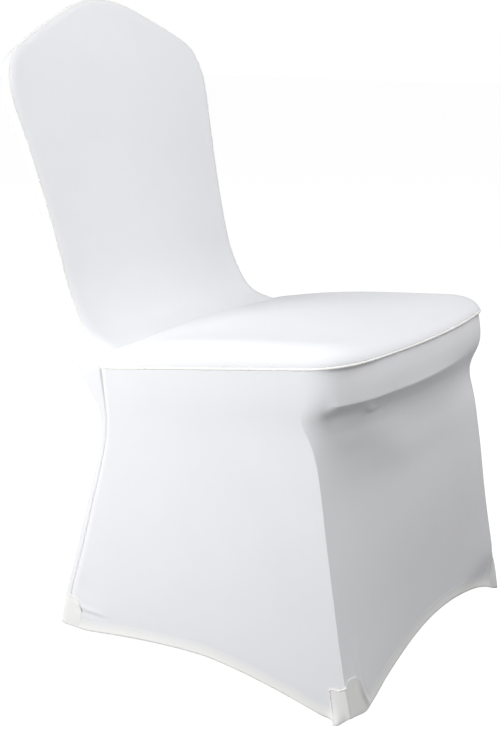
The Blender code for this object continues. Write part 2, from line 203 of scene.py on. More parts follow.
def averaged(values: np.ndarray, run: np.ndarray, reach: np.ndarray) -> np.ndarray:
    """Values along a line, averaged with their neighbours over a reach of their own.

    Args:
        values: one row for each point of the line.
        run: the points' distances along the line.
        reach: the distance over which each point's neighbours count.

    Returns:
        The averaged rows.
    """
    weights = np.exp(-(((run[:, None] - run[None, :]) / reach[:, None]) ** 2)) * np.gradient(run)
    return weights @ values / weights.sum(axis=1, keepdims=True)


def sheet_runs(points: np.ndarray) -> tuple[np.ndarray, np.ndarray]:
    """Running lengths over a sheet.

    Args:
        points: the sheet, as rows by columns by 3.

    Returns:
        Each point's distance from the first row and from the first column.
    """
    down = np.cumsum(np.linalg.norm(np.diff(points, axis=0), axis=2), axis=0)
    across = np.cumsum(np.linalg.norm(np.diff(points, axis=1), axis=2), axis=1)
    return np.vstack([np.zeros(points.shape[1]), down]), np.hstack([np.zeros((len(points), 1)), across])


def outward_normals(points: np.ndarray, inside: np.ndarray) -> np.ndarray:
    """The sheet's normals, away from a place on its inner side.

    Args:
        points: the sheet, as rows by columns by 3.
        inside: the place.

    Returns:
        One vector of length 1 for each point.
    """
    normal = np.cross(np.gradient(points, axis=1), np.gradient(points, axis=0))
    normal /= np.maximum(np.linalg.norm(normal, axis=2, keepdims=True), LEAST_LENGTH)
    return -normal if np.sum(normal * (points - inside)) < 0 else normal


def both_sides(half: np.ndarray) -> np.ndarray:
    """A half line that starts in the middle, with its mirror image before it."""
    return np.vstack([half[:0:-1] * np.array([-1.0, 1.0, 1.0]), half])


def arch(offset: float, half: float, rise: float, power: float) -> float:
    """Height of a hem arch above its feet.

    Args:
        offset: the distance from the arch's peak.
        half: half the arch's width.
        rise: the peak's height.
        power: 2 for a parabola, less for a more pointed arch.

    Returns:
        The height, 0 past the arch's ends.
    """
    return rise * max(0.0, 1.0 - abs(offset / half) ** power)


def raised_line(rows: np.ndarray, height: float, inside: tuple[float, float, float]) -> np.ndarray:
    """A line along the lower edge of a sheet, at a height above the edge and just off its surface.

    Args:
        rows: the sheet's points, the last row at its lower edge.
        height: the distance from the edge, measured along the sheet.
        inside: a place on the sheet's inner side.

    Returns:
        One point for each column.
    """
    found = []
    for col in range(rows.shape[1]):
        line = rows[::-1, col]
        run = lengths_along(line)
        found.append([np.interp(height, run, part) for part in line.T])
    line = np.array(found)
    out = line - np.array(inside)
    out[:, 2] = 0.0
    return line + unit(out) * STITCH_LIFT


@dataclass
class BackShape:
    """The padded back: where its seam runs, and how far the cloth stands off it to the front and rear."""

    lean: float = 0.245
    face_step: tuple[float, float] = (-0.0060, 0.0015)
    rear_step: tuple[float, float] = (0.0218, -0.0053)
    crown: tuple[tuple[float, float], ...] = (
        (0.0000, 0.9040),
        (0.0530, 0.8948),
        (0.1060, 0.8743),
        (0.1590, 0.8504),
        (0.1940, 0.8290),
        (0.2075, 0.8035),
    )
    sides: tuple[tuple[float, ...], ...] = (
        (0.2120, 0.3085, 0.7730, 0.3025, 0.7745, 0.3303, 0.7677, 0.010, 0.009),
        (0.2022, 0.2900, 0.7000, 0.2840, 0.7015, 0.3124, 0.6942, 0.010, 0.009),
        (0.1938, 0.2725, 0.6260, 0.2665, 0.6275, 0.2945, 0.6200, 0.010, 0.009),
        (0.1895, 0.2570, 0.5600, 0.2500, 0.5617, 0.2784, 0.5530, 0.011, 0.009),
        (0.1887, 0.2420, 0.5050, 0.2345, 0.5070, 0.2654, 0.4960, 0.012, 0.009),
        (0.1915, 0.2175, 0.4550, 0.2105, 0.4590, 0.2516, 0.4462, 0.014, 0.010),
        (0.2000, 0.1950, 0.4280, 0.1910, 0.4430, 0.2350, 0.4175, 0.022, 0.010),
        (0.2150, 0.1620, 0.4100, 0.1582, 0.4350, 0.2125, 0.3945, 0.036, 0.010),
    )
    steps_crown: int = 44
    steps_side: int = 88
    dense: int = 80
    shoulder_share: float = 0.62

    def outline(self) -> np.ndarray:
        """Half of the back's seam from the top middle to the seat's corner.

        Returns:
            Rows of half width, seam, face and rear places, and the two rolls, as in the sides' table.
        """
        shoulder = self.sides[0]
        rows = []
        for half_width, seam_z in self.crown:
            seam_y = shoulder[1] + self.lean * (seam_z - shoulder[2])
            rows.append((
                half_width, seam_y, seam_z,
                seam_y + self.face_step[0], seam_z + self.face_step[1],
                seam_y + self.rear_step[0], seam_z + self.rear_step[1],
                shoulder[7], shoulder[8],
            ))
        rows += list(self.sides)
        mirrored = np.array(rows[1]) * np.array([-1.0] + [1.0] * (len(shoulder) - 1))
        dense = through(np.vstack([mirrored, rows]), self.dense)[self.dense :]
        turn = int(round((len(self.crown) - 2 + self.shoulder_share) * self.dense))
        upper = spaced(dense[: turn + 1], self.steps_crown)
        lower = spaced(dense[turn:], self.steps_side)
        return np.vstack([upper, lower[1:]])

    def corner(self) -> tuple[float, float, float]:
        """The corner where the back, the seat and the skirt meet, on the left."""
        x, y, z = self.sides[-1][:3]
        return x, y, z


@dataclass(frozen=True)
class Wrinkle:
    """A small fold in the stretched cloth that follows a line: a crest with a hollow beside it."""

    path: tuple[tuple[float, float, float], ...]
    facing: tuple[float, float, float]
    rise: float
    width: float
    hollow: float = 0.6
    facing_share: float = 0.45
    sewn_reach: float = 0.016
    line_steps: int = 60
    end_fade: float = 0.7
    reach_widths: float = 2.2
    hollow_offset: float = 1.4

    def press(self, points: np.ndarray) -> np.ndarray:
        """Presses the fold into a sheet of points.

        Args:
            points: the sheet, as rows by columns by 3.

        Returns:
            The points with the fold in them.
        """
        normal = outward_normals(points, np.array(INSIDE_SKIRT))
        facing = np.array(self.facing)
        seen = normal.reshape(-1, 3) @ facing > self.facing_share
        line = spaced(through(np.array(self.path), 12), self.line_steps)
        line = line - (line @ facing)[:, None] * facing
        flat = points.reshape(-1, 3)
        flat = flat - (flat @ facing)[:, None] * facing
        ends = np.sin(np.linspace(0.0, math.pi, len(line))) ** self.end_fade
        gaps = np.linalg.norm(flat[:, None, :] - line[None, :, :], axis=2)
        nearest = gaps.argmin(axis=1)
        along = np.gradient(line, axis=0)[nearest]
        across = np.cross(along, normal.reshape(-1, 3))
        across /= np.maximum(np.linalg.norm(across, axis=1, keepdims=True), LEAST_LENGTH)
        offset = np.sum((flat - line[nearest]) * across, axis=1) / self.width
        reach = np.exp(-((gaps.min(axis=1) / (self.reach_widths * self.width)) ** 2))
        shape = np.exp(-(offset**2)) - self.hollow * np.exp(-((offset - self.hollow_offset) ** 2))
        size = self.rise * ends[nearest] * reach * shape * seen * self._clear(points).reshape(-1)
        return points + normal * size.reshape(points.shape[:2])[:, :, None]

    def _clear(self, points: np.ndarray) -> np.ndarray:
        """How freely each point of a sheet may move: not at all at its top and side edges, which are sewn.

        Args:
            points: the sheet, as rows by columns by 3.

        Returns:
            A share for each point, from 0 at a sewn edge to 1.
        """
        down, across = sheet_runs(points)
        return smooth_step(np.minimum(down, np.minimum(across, across[:, -1:] - across)) / self.sewn_reach)


@dataclass
class SkirtShape:
    """The skirt: one row of sizes for each level between the seat's seam and the hem.

    A row of band or legs holds the level; the rear leg's seam (x, y); the front leg's crease (x, and y on the
    right and on the left); the knee's share, which is 0 for a round corner and grows with the crease's
    sharpness; where the front's flat part starts, how far it bows and its middle y; and the rear face's y and
    drop at the rear leg. A row of right_arch or left_arch holds a distance from the front's middle and the
    front hem's height there. The crease at the left foot is rounded between left_round_levels.
    """

    band: tuple[tuple[float, ...], ...] = (
        (0.000, 0.2150, 0.1620, 0.2060, -0.1630, -0.1630, 0.00, 0.1486, 0.0154, -0.2489, 0.2125, 0.0155),
        (0.055, 0.2150, 0.1605, 0.2080, -0.1675, -0.1675, 0.00, 0.1509, 0.0150, -0.2521, 0.2045, 0.0075),
        (0.105, 0.2148, 0.1590, 0.2090, -0.1715, -0.1715, 0.00, 0.1534, 0.0143, -0.2527, 0.1850, 0.0030),
    )
    legs: tuple[tuple[float, ...], ...] = (
        (0.105, 0.2148, 0.1590, 0.2090, -0.1715, -0.1715, 0.00, 0.1534, 0.0143, -0.2527, 0.1850, 0.0030),
        (0.130, 0.2145, 0.1580, 0.2075, -0.1640, -0.1680, 0.03, 0.1480, 0.0140, -0.2450, 0.1760, 0.0010),
        (0.147, 0.2143, 0.1577, 0.2070, -0.1600, -0.1660, 0.16, 0.1400, 0.0120, -0.2405, 0.1738, 0.0004),
        (0.177, 0.2141, 0.1576, 0.2067, -0.1709, -0.1740, 0.34, 0.1200, 0.0070, -0.2370, 0.1718, 0.0),
        (0.216, 0.2140, 0.1583, 0.2072, -0.1817, -0.1900, 0.47, 0.1000, 0.0040, -0.2375, 0.1715, 0.0),
        (0.273, 0.2142, 0.1626, 0.2093, -0.1909, -0.1990, 0.68, 0.0700, 0.0015, -0.2398, 0.1762, 0.0),
        (0.360, 0.2152, 0.1715, 0.2120, -0.1992, -0.2060, 0.80, 0.0450, 0.0006, -0.2405, 0.1858, 0.0),
        (0.450, 0.2168, 0.1830, 0.2150, -0.2065, -0.2125, 0.84, 0.0400, 0.0005, -0.2425, 0.1975, 0.0),
        (0.550, 0.2190, 0.1945, 0.2182, -0.2153, -0.2172, 0.85, 0.0400, 0.0004, -0.2440, 0.2090, 0.0),
        (0.660, 0.2215, 0.2070, 0.2212, -0.2247, -0.2235, 0.84, 0.0400, 0.0003, -0.2450, 0.2215, 0.0),
        (0.770, 0.2240, 0.2210, 0.2240, -0.2341, -0.2312, 0.80, 0.0400, 0.0002, -0.2462, 0.2350, 0.0),
        (0.875, 0.2262, 0.2345, 0.2262, -0.2438, -0.2385, 0.65, 0.0400, 0.0001, -0.2488, 0.2480, 0.0),
        (1.000, 0.2285, 0.2460, 0.2285, -0.2572, -0.2455, 0.45, 0.0400, 0.0000, -0.2530, 0.2595, 0.0),
    )
    hem_z: float = 0.0016
    side_rise: float = 0.026
    side_peak_y: float = -0.020
    side_rear: float = 0.225
    side_front: float = 0.190
    side_power: float = 1.6
    right_arch: tuple[tuple[float, float], ...] = (
        (0.0000, 0.0567), (0.0201, 0.0545), (0.0413, 0.0505), (0.0621, 0.0463), (0.0823, 0.0403),
        (0.1022, 0.0340), (0.1218, 0.0282), (0.1410, 0.0219), (0.1597, 0.0127), (0.1781, 0.0033),
        (0.1860, 0.0016),
    )
    left_arch: tuple[tuple[float, float], ...] = (
        (0.0000, 0.0567), (0.0259, 0.0570), (0.0507, 0.0564), (0.0764, 0.0540), (0.1027, 0.0489),
        (0.1298, 0.0421), (0.1578, 0.0345), (0.1870, 0.0240), (0.2172, 0.0075), (0.2285, 0.0016),
    )
    rear_rise: float = 0.045
    rear_half: float = 0.184
    left_round: float = 0.030
    left_face: float = 0.120
    left_reach: float = 0.050
    left_foot_share: float = 0.90
    left_foot_level: float = 0.86
    left_view: tuple[float, float] = (0.5476, -0.8368)
    left_round_levels: tuple[float, float, float, float] = (0.12, 0.22, 0.80, 0.97)
    foot_notch: float = 0.0115
    left_notch: float = 0.3
    notch_side: float = 0.017
    notch_front: float = 0.045
    steps_side: int = 66
    steps_front: int = 60
    leg_roll: float = 0.008
    wrinkles: tuple[Wrinkle, ...] = (
        Wrinkle(((-0.1795, 0.0, 0.006), (-0.1874, 0.0, 0.020), (-0.1932, 0.0, 0.037), (-0.1944, 0.0, 0.055),
                 (-0.1935, 0.0, 0.078), (-0.1890, 0.0, 0.100)), (0.0, -1.0, 0.0), 0.0042, 0.0034, 0.9),
        Wrinkle(((-0.154, 0.0, 0.4100), (-0.144, 0.0, 0.4010), (-0.136, 0.0, 0.3990), (-0.128, 0.0, 0.4030)),
                (0.0, -1.0, 0.0), 0.0026, 0.0034),
        Wrinkle(((-0.115, 0.0, 0.3920), (-0.020, 0.0, 0.3900), (0.060, 0.0, 0.3880), (0.130, 0.0, 0.3860)),
                (0.0, -1.0, 0.0), 0.0030, 0.0300, 0.0),
        Wrinkle(((-0.200, 0.0, 0.3980), (-0.180, 0.0, 0.4010), (-0.155, 0.0, 0.4030)),
                (0.0, -1.0, 0.0), -0.0030, 0.0090, 0.0),
        Wrinkle(((0.2050, 0.0, 0.085), (0.1990, 0.0, 0.055), (0.1900, 0.0, 0.028)),
                (0.0, -1.0, 0.0), 0.0010, 0.0032),
        Wrinkle(((0.0, 0.2320, 0.0420), (0.0, 0.2050, 0.0365), (0.0, 0.1600, 0.0360)),
                (-1.0, 0.0, 0.0), 0.0017, 0.0042, 0.8),
        Wrinkle(((0.0, 0.2440, 0.150), (0.0, 0.2250, 0.085), (0.0, 0.1750, 0.055)),
                (-1.0, 0.0, 0.0), -0.0020, 0.0170, 0.0),
    )
    band_soften: float = 0.019
    soften_share: float = 0.6
    front_ease: float = 0.030
    front_ease_share: float = 0.5
    band_sharp: tuple[float, float, float, float] = (-0.2035, -0.1955, -0.040, 0.120)
    band_front_y: float = -0.15
    edge_rows: float = 0.012
    wide_rows: tuple[float, float] = (0.25, 0.88)
    row_counts: tuple[int, ...] = (14, 13, 22, 48, 22)
    side_packing: float = 1.5
    front_packing: float = 1.25
    corner_steps: int = 160
    face_steps: int = 40
    flares: tuple[tuple[Hand, float, float], ...] = (
        (Hand.RIGHT, -0.2370, 0.0105), (Hand.LEFT, -0.2360, 0.0030),
    )
    flare_depth: float = 0.0085
    flare_height: float = 0.034
    flare_power: float = 1.6
    flare_x: float = 0.2

    def sizes(self, level: float) -> np.ndarray:
        """All the sizes at a level, without the level itself.

        Args:
            level: the share of the way from the seam down to the hem.

        Returns:
            The sizes, in the order of the class's rows.
        """
        table = np.array(self.band if level <= self.band[-1][0] else self.legs)
        return smooth_at(level, table[:, 0], table[:, 1:])

    def half_plan(self, level: float, hand: Hand) -> np.ndarray:
        """One side's half of the level outline seen from above, from the rear leg to the front's middle.

        Args:
            level: the share of the way from the seam down to the hem.
            hand: the side, whose crease has its own depth.

        Returns:
            Rows of x and y, with x counted outwards from the middle.
        """
        sizes = self.sizes(level)[:9]
        foot = float(np.clip((level - self.left_foot_level) / (1.0 - self.left_foot_level), 0.0, 1.0))
        sharp = self._plan(sizes, hand, 0.0, foot)
        start, full, fading, gone = self.left_round_levels
        soft = min((level - start) / (full - start), (gone - level) / (gone - fading))
        if hand is Hand.RIGHT or soft <= 0.0:
            return sharp
        points = self._plan(sizes, hand, float(smooth_step(soft)), foot)
        view = np.array(self.left_view)
        furthest = int(np.argmax(points @ view))
        run = lengths_along(points)
        near = np.exp(-(((run - run[furthest]) / self.left_reach) ** 2))
        return points + (np.max(sharp @ view) - points[furthest] @ view) * near[:, None] * view

    def _plan(self, sizes: np.ndarray, hand: Hand, soft: float, foot: float) -> np.ndarray:
        """One side's half of a level outline from its sizes.

        Args:
            sizes: the level's sizes, down to the middle's y.
            hand: the side, whose crease has its own depth.
            soft: how far the left front corner is rounded, from 0 to 1.
            foot: how near the level is to the left foot, where the front lies flat again.

        Returns:
            Rows of x and y, with x counted outwards from the middle.
        """
        rear_x, rear_y, crease_x, right_y, left_y, share, face_x, bow, middle_y = sizes
        crease_y = right_y if hand is Hand.RIGHT else left_y + soft * self.left_round
        share *= 1.0 - soft
        if hand is Hand.LEFT:
            share += (self.left_foot_share - share) * foot
        face_x += soft * (self.left_face - face_x)
        rear, crease = np.array([rear_x, rear_y]), np.array([crease_x, crease_y])
        slope = 2 * bow / face_x
        knee_x = crease_x - share * (crease_x - face_x)
        knee = np.array([knee_x, middle_y + bow + slope * (knee_x - face_x)])
        face = np.array([face_x, middle_y + bow])
        run = 1.0 - (1.0 - np.linspace(0.0, 1.0, self.steps_side, endpoint=False)) ** self.side_packing
        side = rear + (crease - rear) * run[:, None]
        t = np.linspace(0.0, 1.0, self.corner_steps, endpoint=False)[:, None]
        corner = (1 - t) ** 2 * crease + 2 * t * (1 - t) * knee + t**2 * face
        x = np.linspace(face_x, 0.0, self.face_steps)
        front = np.vstack([corner, np.column_stack([x, middle_y + bow * (x / face_x) ** 2])])
        gaps = lengths_along(front)
        wanted = gaps[-1] * np.linspace(0.0, 1.0, self.steps_front + 1) ** self.front_packing
        return np.vstack([side, np.column_stack([np.interp(wanted, gaps, c) for c in front.T])])

    def hem_heights(self, foot: np.ndarray, hand: Hand) -> np.ndarray:
        """Height of the hem under each point of one side's lowest outline.

        Args:
            foot: rows of x and y from the rear leg to the front's middle.
            hand: the side, whose front arch has its own heights.

        Returns:
            One height for each point, low at the feet, a little higher at the leg's crease.
        """
        crease = self.steps_side
        front = np.array(self.right_arch if hand is Hand.RIGHT else self.left_arch)
        notch_height = self.foot_notch if hand is Hand.RIGHT else self.foot_notch * self.left_notch
        along = lengths_along(foot) - lengths_along(foot)[crease]
        found = []
        for i, (x, y) in enumerate(foot):
            if i < crease:
                offset = y - self.side_peak_y
                half = self.side_rear if offset > 0 else self.side_front
                rise = arch(offset, half, self.side_rise, self.side_power)
                reach = self.notch_side
            else:
                rise = max(0.0, float(smooth_at(x, front[:, 0], front[:, 1:])[0]) - self.hem_z)
                reach = self.notch_front
            notch = notch_height * max(0.0, 1.0 - abs(along[i]) / reach)
            found.append(self.hem_z + math.hypot(rise, notch))
        return np.array(found)

    def levels(self) -> np.ndarray:
        """Levels of the mesh's rows, closer together at the padding's lower edge and at the hem.

        Returns:
            The rising levels, from 0 at the seam to 1 at the hem.
        """
        edge = self.band[-1][0]
        stops = (0.0, edge - self.edge_rows, edge + self.edge_rows, *self.wide_rows, 1.0)
        parts = [np.linspace(*ends, count) for *ends, count in zip(stops, stops[1:], self.row_counts)]
        return np.unique(np.concatenate(parts).round(5))

    def grid(self, seat_seams: dict[Hand, np.ndarray]) -> np.ndarray:
        """Rows of the skirt from the seat's seam to the hem, each from the right rear leg to the left one.

        Args:
            seat_seams: each side's half of the seat's seam, from the rear leg to the front's middle.

        Returns:
            The points, as rows by columns by 3.
        """
        halves = []
        for hand, seam in seat_seams.items():
            foot = self.half_plan(1.0, hand)
            hem = self.hem_heights(foot, hand)
            top = seam[:, 2]
            shrink = (top - hem) / (top - self.hem_z)
            rows = [seam]
            for level in self.levels()[1:]:
                places = [self.half_plan(level * share, hand)[i] for i, share in enumerate(shrink)]
                rows.append(np.column_stack([places, top + (hem - top) * level]))
            half = np.array(rows) * np.array([hand.value, 1.0, 1.0])
            halves.append(half if hand is Hand.RIGHT else half[:, -2::-1])
        points = self._flared(self._evened(np.concatenate(halves, axis=1)))
        return self._softened(points)

    def _evened(self, points: np.ndarray) -> np.ndarray:
        """Evens out the front between its two creases, so that no line shows where its curves meet.

        Args:
            points: the skirt's rows from one rear leg to the other.

        Returns:
            The rows, the first one and the creases as they were.
        """
        width = points.shape[1]
        inner = slice(self.steps_side + 1, width - self.steps_side - 1)
        found = points.copy()
        for row in found:
            run = lengths_along(row)
            near = np.minimum(run - run[self.steps_side], run[width - 1 - self.steps_side] - run)
            reach = np.clip(near * self.front_ease_share, LEAST_REACH, self.front_ease)
            row[inner] = averaged(row, run, reach)[inner]
        found[0] = points[0]
        return found

    def _softened(self, points: np.ndarray) -> np.ndarray:
        """Keeps the padding's lower edge sharp on the front only and adds the wrinkles.

        Args:
            points: the skirt's rows.

        Returns:
            The rows with the softer edge and all the wrinkles.
        """
        start, full, fading, gone = self.band_sharp
        edge = points[int(np.searchsorted(self.levels(), self.band[-1][0]))]
        x, y = edge[:, 0], edge[:, 1]
        sharp = np.clip((x - start) / (full - start), 0.0, 1.0)
        sharp = sharp * np.clip((gone - x) / (gone - fading), 0.0, 1.0)
        sharp = np.where(y < self.band_front_y, smooth_step(sharp), 0.0)
        soft = points.copy()
        for col in range(points.shape[1]):
            if sharp[col] < 1.0:
                run = lengths_along(points[:, col])
                ends = np.minimum(run, run[-1] - run)
                reach = np.clip(ends * self.soften_share, LEAST_REACH, self.band_soften)
                soft[:, col] = averaged(points[:, col], run, reach)
        points = points * sharp[None, :, None] + soft * (1 - sharp[None, :, None])
        for wrinkle in self.wrinkles:
            points = wrinkle.press(points)
        return points

    def _flared(self, points: np.ndarray) -> np.ndarray:
        """Pulls the hem out in a small point beside each front foot.

        Args:
            points: the skirt's rows.

        Returns:
            The rows with the two points.
        """
        moved = points.copy()
        for hand, at_y, out in self.flares:
            near = np.exp(-(((points[:, :, 1] - at_y) / self.flare_depth) ** 2))
            low = np.clip(1.0 - points[:, :, 2] / self.flare_height, 0.0, 1.0) ** self.flare_power
            side = points[:, :, 0] * hand.value > self.flare_x
            moved[:, :, 0] += hand.value * out * near * low * side
        return moved


@dataclass
class SeatShape:
    """The seat: its seam lies in a plane that rises to the front, under a padded, rolled edge."""

    rise: float = 0.1435
    roll: float = 0.044
    bulge: float = 0.006
    pad: tuple[tuple[float, float], ...] = (
        (-0.2490, 0.0235),
        (-0.1400, 0.0270),
        (-0.0500, 0.0315),
        (0.0400, 0.0320),
        (0.1100, 0.0280),
        (0.1620, 0.0253),
    )

    def seam_z(self, y: np.ndarray, corner: tuple[float, float, float]) -> np.ndarray:
        """Height of the seat's seam at a depth, from the corner that it starts at."""
        return corner[2] + (corner[1] - y) * self.rise

    def lift(self, y: np.ndarray) -> np.ndarray:
        """How the padding stands off the seam's plane.

        Args:
            y: the depths asked for.

        Returns:
            One vector for each depth.
        """
        table = np.array(self.pad)
        height = np.array([smooth_at(v, table[:, 0], table[:, 1:])[0] for v in y])
        normal = np.array([0.0, self.rise, 1.0]) / math.hypot(self.rise, 1.0)
        return height[:, None] * normal


@dataclass
class Grid:
    """A sheet of points in rows, with each point's distance from the nearest seam and its run along it.

    The hem is each point's height above the hem's edge, measured along the cloth.
    """

    points: np.ndarray
    distance: np.ndarray
    run: np.ndarray
    hem: np.ndarray | None = None

    def heights(self) -> np.ndarray:
        """Each point's height above the hem's edge, or a large one where the grid has no hem."""
        return np.full(self.points.shape[:2], 1.0) if self.hem is None else self.hem


@dataclass
class Panel:
    """One cut piece of cloth, made from grids of points that share their edges."""

    name: str
    grids: list[Grid]
    outward_from: tuple[float, float, float]

    def mesh(self) -> bpy.types.Mesh:
        """The panel's outer face as one open mesh, faces outwards.

        Returns:
            The mesh, with the point attributes seam_distance, seam_run and hem_height.
        """
        points, faces, distance, run, hem = [], [], [], [], []
        for grid in self.grids:
            rows, cols = grid.points.shape[:2]
            start = sum(len(p) for p in points)
            index = start + np.arange(rows * cols).reshape(rows, cols)
            quads = np.stack([index[:-1, :-1], index[:-1, 1:], index[1:, 1:], index[1:, :-1]], axis=-1)
            points.append(grid.points.reshape(-1, 3))
            faces.append(quads.reshape(-1, 4))
            distance.append(grid.distance.reshape(-1))
            run.append(grid.run.reshape(-1))
            hem.append(grid.heights().reshape(-1))
        everything = np.concatenate(points)
        _, first, same = np.unique(
            everything.round(MERGE_DECIMALS), axis=0, return_index=True, return_inverse=True
        )
        quads = same.reshape(-1)[np.concatenate(faces)]
        corners = [list(dict.fromkeys(quad)) for quad in quads.tolist()]
        corners = [c for c in corners if len(c) > 2]
        places = everything[first]
        data = bpy.data.meshes.new(self.name)
        data.from_pydata(places.tolist(), [], corners)
        self._turn_outwards(data)
        for name, values in (("seam_distance", distance), ("seam_run", run), ("hem_height", hem)):
            layer = data.attributes.new(name, "FLOAT", "POINT")
            layer.data.foreach_set("value", np.concatenate(values)[first].astype(np.float32))
        return data

    def _turn_outwards(self, data: bpy.types.Mesh) -> None:
        """Turns all the faces round if most of them look towards the place on the inner side.

        Args:
            data: the panel's mesh, which is changed.
        """
        origin = Vector(self.outward_from)
        agree = sum(p.normal.dot(p.center - origin) * p.area for p in data.polygons)
        if agree < 0:
            data.flip_normals()

    def build(self, material: bpy.types.Material, thickness: float = CLOTH) -> bpy.types.Object:
        """The panel as a finished cloth of its own thickness.

        Args:
            material: the cloth's finish.
            thickness: the cloth's thickness, which goes inwards.

        Returns:
            An object at the origin whose place is in its mesh.
        """
        data = self.mesh()
        data.transform(Matrix.Translation((0.0, -DEPTH_CENTRE_Y, 0.0)))
        data.materials.append(material)
        piece = bpy.data.objects.new(self.name, data)
        bpy.context.scene.collection.objects.link(piece)
        thick = piece.modifiers.new("Cloth thickness", "SOLIDIFY")
        thick.thickness = thickness
        thick.offset = -1.0
        thick.use_even_offset = True
        return finished(piece)


def finished(piece: bpy.types.Object) -> bpy.types.Object:
    """Puts what the modifiers make into the object's own mesh and smooths it.

    Args:
        piece: an object with modifiers.

    Returns:
        The same object, with a plain mesh.
    """
    graph = bpy.context.evaluated_depsgraph_get()
    graph.update()
    data = bpy.data.meshes.new_from_object(piece.evaluated_get(graph))
    data.name = piece.name
    piece.modifiers.clear()
    old = piece.data
    piece.data = data
    if old.users == 0:
        bpy.data.meshes.remove(old)
    data.shade_smooth()
    return piece


def rolled_edge(seam: np.ndarray, lift: np.ndarray, roll: np.ndarray, closed: bool, steps: int) -> Grid:
    """Cloth that leaves a seam along lift and rolls over towards the panel's middle.

    Args:
        seam: the seam's points.
        lift: how far the cloth rises off the seam, for each point.
        roll: how far it rolls inwards, for each point.
        closed: whether the seam's last point is its first.
        steps: rows of the roll.

    Returns:
        The rolled strip, its first row on the seam.
    """
    if closed:
        along = np.roll(seam[:-1], -1, axis=0) - np.roll(seam[:-1], 1, axis=0)
        along = np.vstack([along, along[:1]])
    else:
        along = np.gradient(seam, axis=0)
    inward = unit(np.cross(along, lift))
    if np.sum(inward * (seam.mean(axis=0) - seam)) < 0:
        inward = -inward
    length = lengths_along(seam)
    inward = unit(eased(inward, length, CORNER_EASE, closed))
    lift = eased(lift, length, CORNER_EASE, closed)
    roll = eased(roll[:, None], length, CORNER_EASE, closed)[:, 0]
    rows = []
    for angle in np.linspace(0.0, math.pi / 2, steps + 1):
        rows.append(seam + math.sin(angle) * lift + (1 - math.cos(angle)) * roll[:, None] * inward)
    points = np.array(rows)
    gaps = np.linalg.norm(np.diff(points, axis=0), axis=2)
    distance = np.vstack([np.zeros(len(seam)), np.cumsum(gaps, axis=0)])
    run = np.tile(lengths_along(seam), (len(points), 1))
    return Grid(points, distance, run)


@dataclass
class Patch:
    """A panel's middle, between two side curves, whose ends follow the top and bottom curves."""

    top_fade: float
    bottom_fade: float
    clear_of_seams: float = 0.06

    def fill(
        self, left: np.ndarray, right: np.ndarray, top: np.ndarray, bottom: np.ndarray, bulge: np.ndarray
    ) -> Grid:
        """Fills the middle.

        Args:
            left: the left side curve, from the top.
            right: the right side curve, from the top.
            top: the top curve, from left to right.
            bottom: the bottom curve, from left to right.
            bulge: how far each row swells in its middle, as vectors.

        Returns:
            The rows of points from the top to the bottom.
        """
        share = np.linspace(0.0, 1.0, len(top))[:, None]
        top_arch = top - (left[0] * (1 - share) + right[0] * share)
        bottom_arch = bottom - (left[-1] * (1 - share) + right[-1] * share)
        swell = (1 - (2 * share - 1) ** 2) ** 2
        down = lengths_along(right)
        rows = []
        for row, place in enumerate(down):
            upper = max(0.0, 1.0 - place / self.top_fade) ** 2
            lower = max(0.0, 1.0 - (down[-1] - place) / self.bottom_fade) ** 2
            straight = left[row] * (1 - share) + right[row] * share
            swollen = (1 - upper) * (1 - lower) * swell * bulge[row]
            rows.append(straight + upper * top_arch + lower * bottom_arch + swollen)
        points = np.array(rows)
        return Grid(points, np.full(points.shape[:2], self.clear_of_seams), points[:, :, 0].copy())


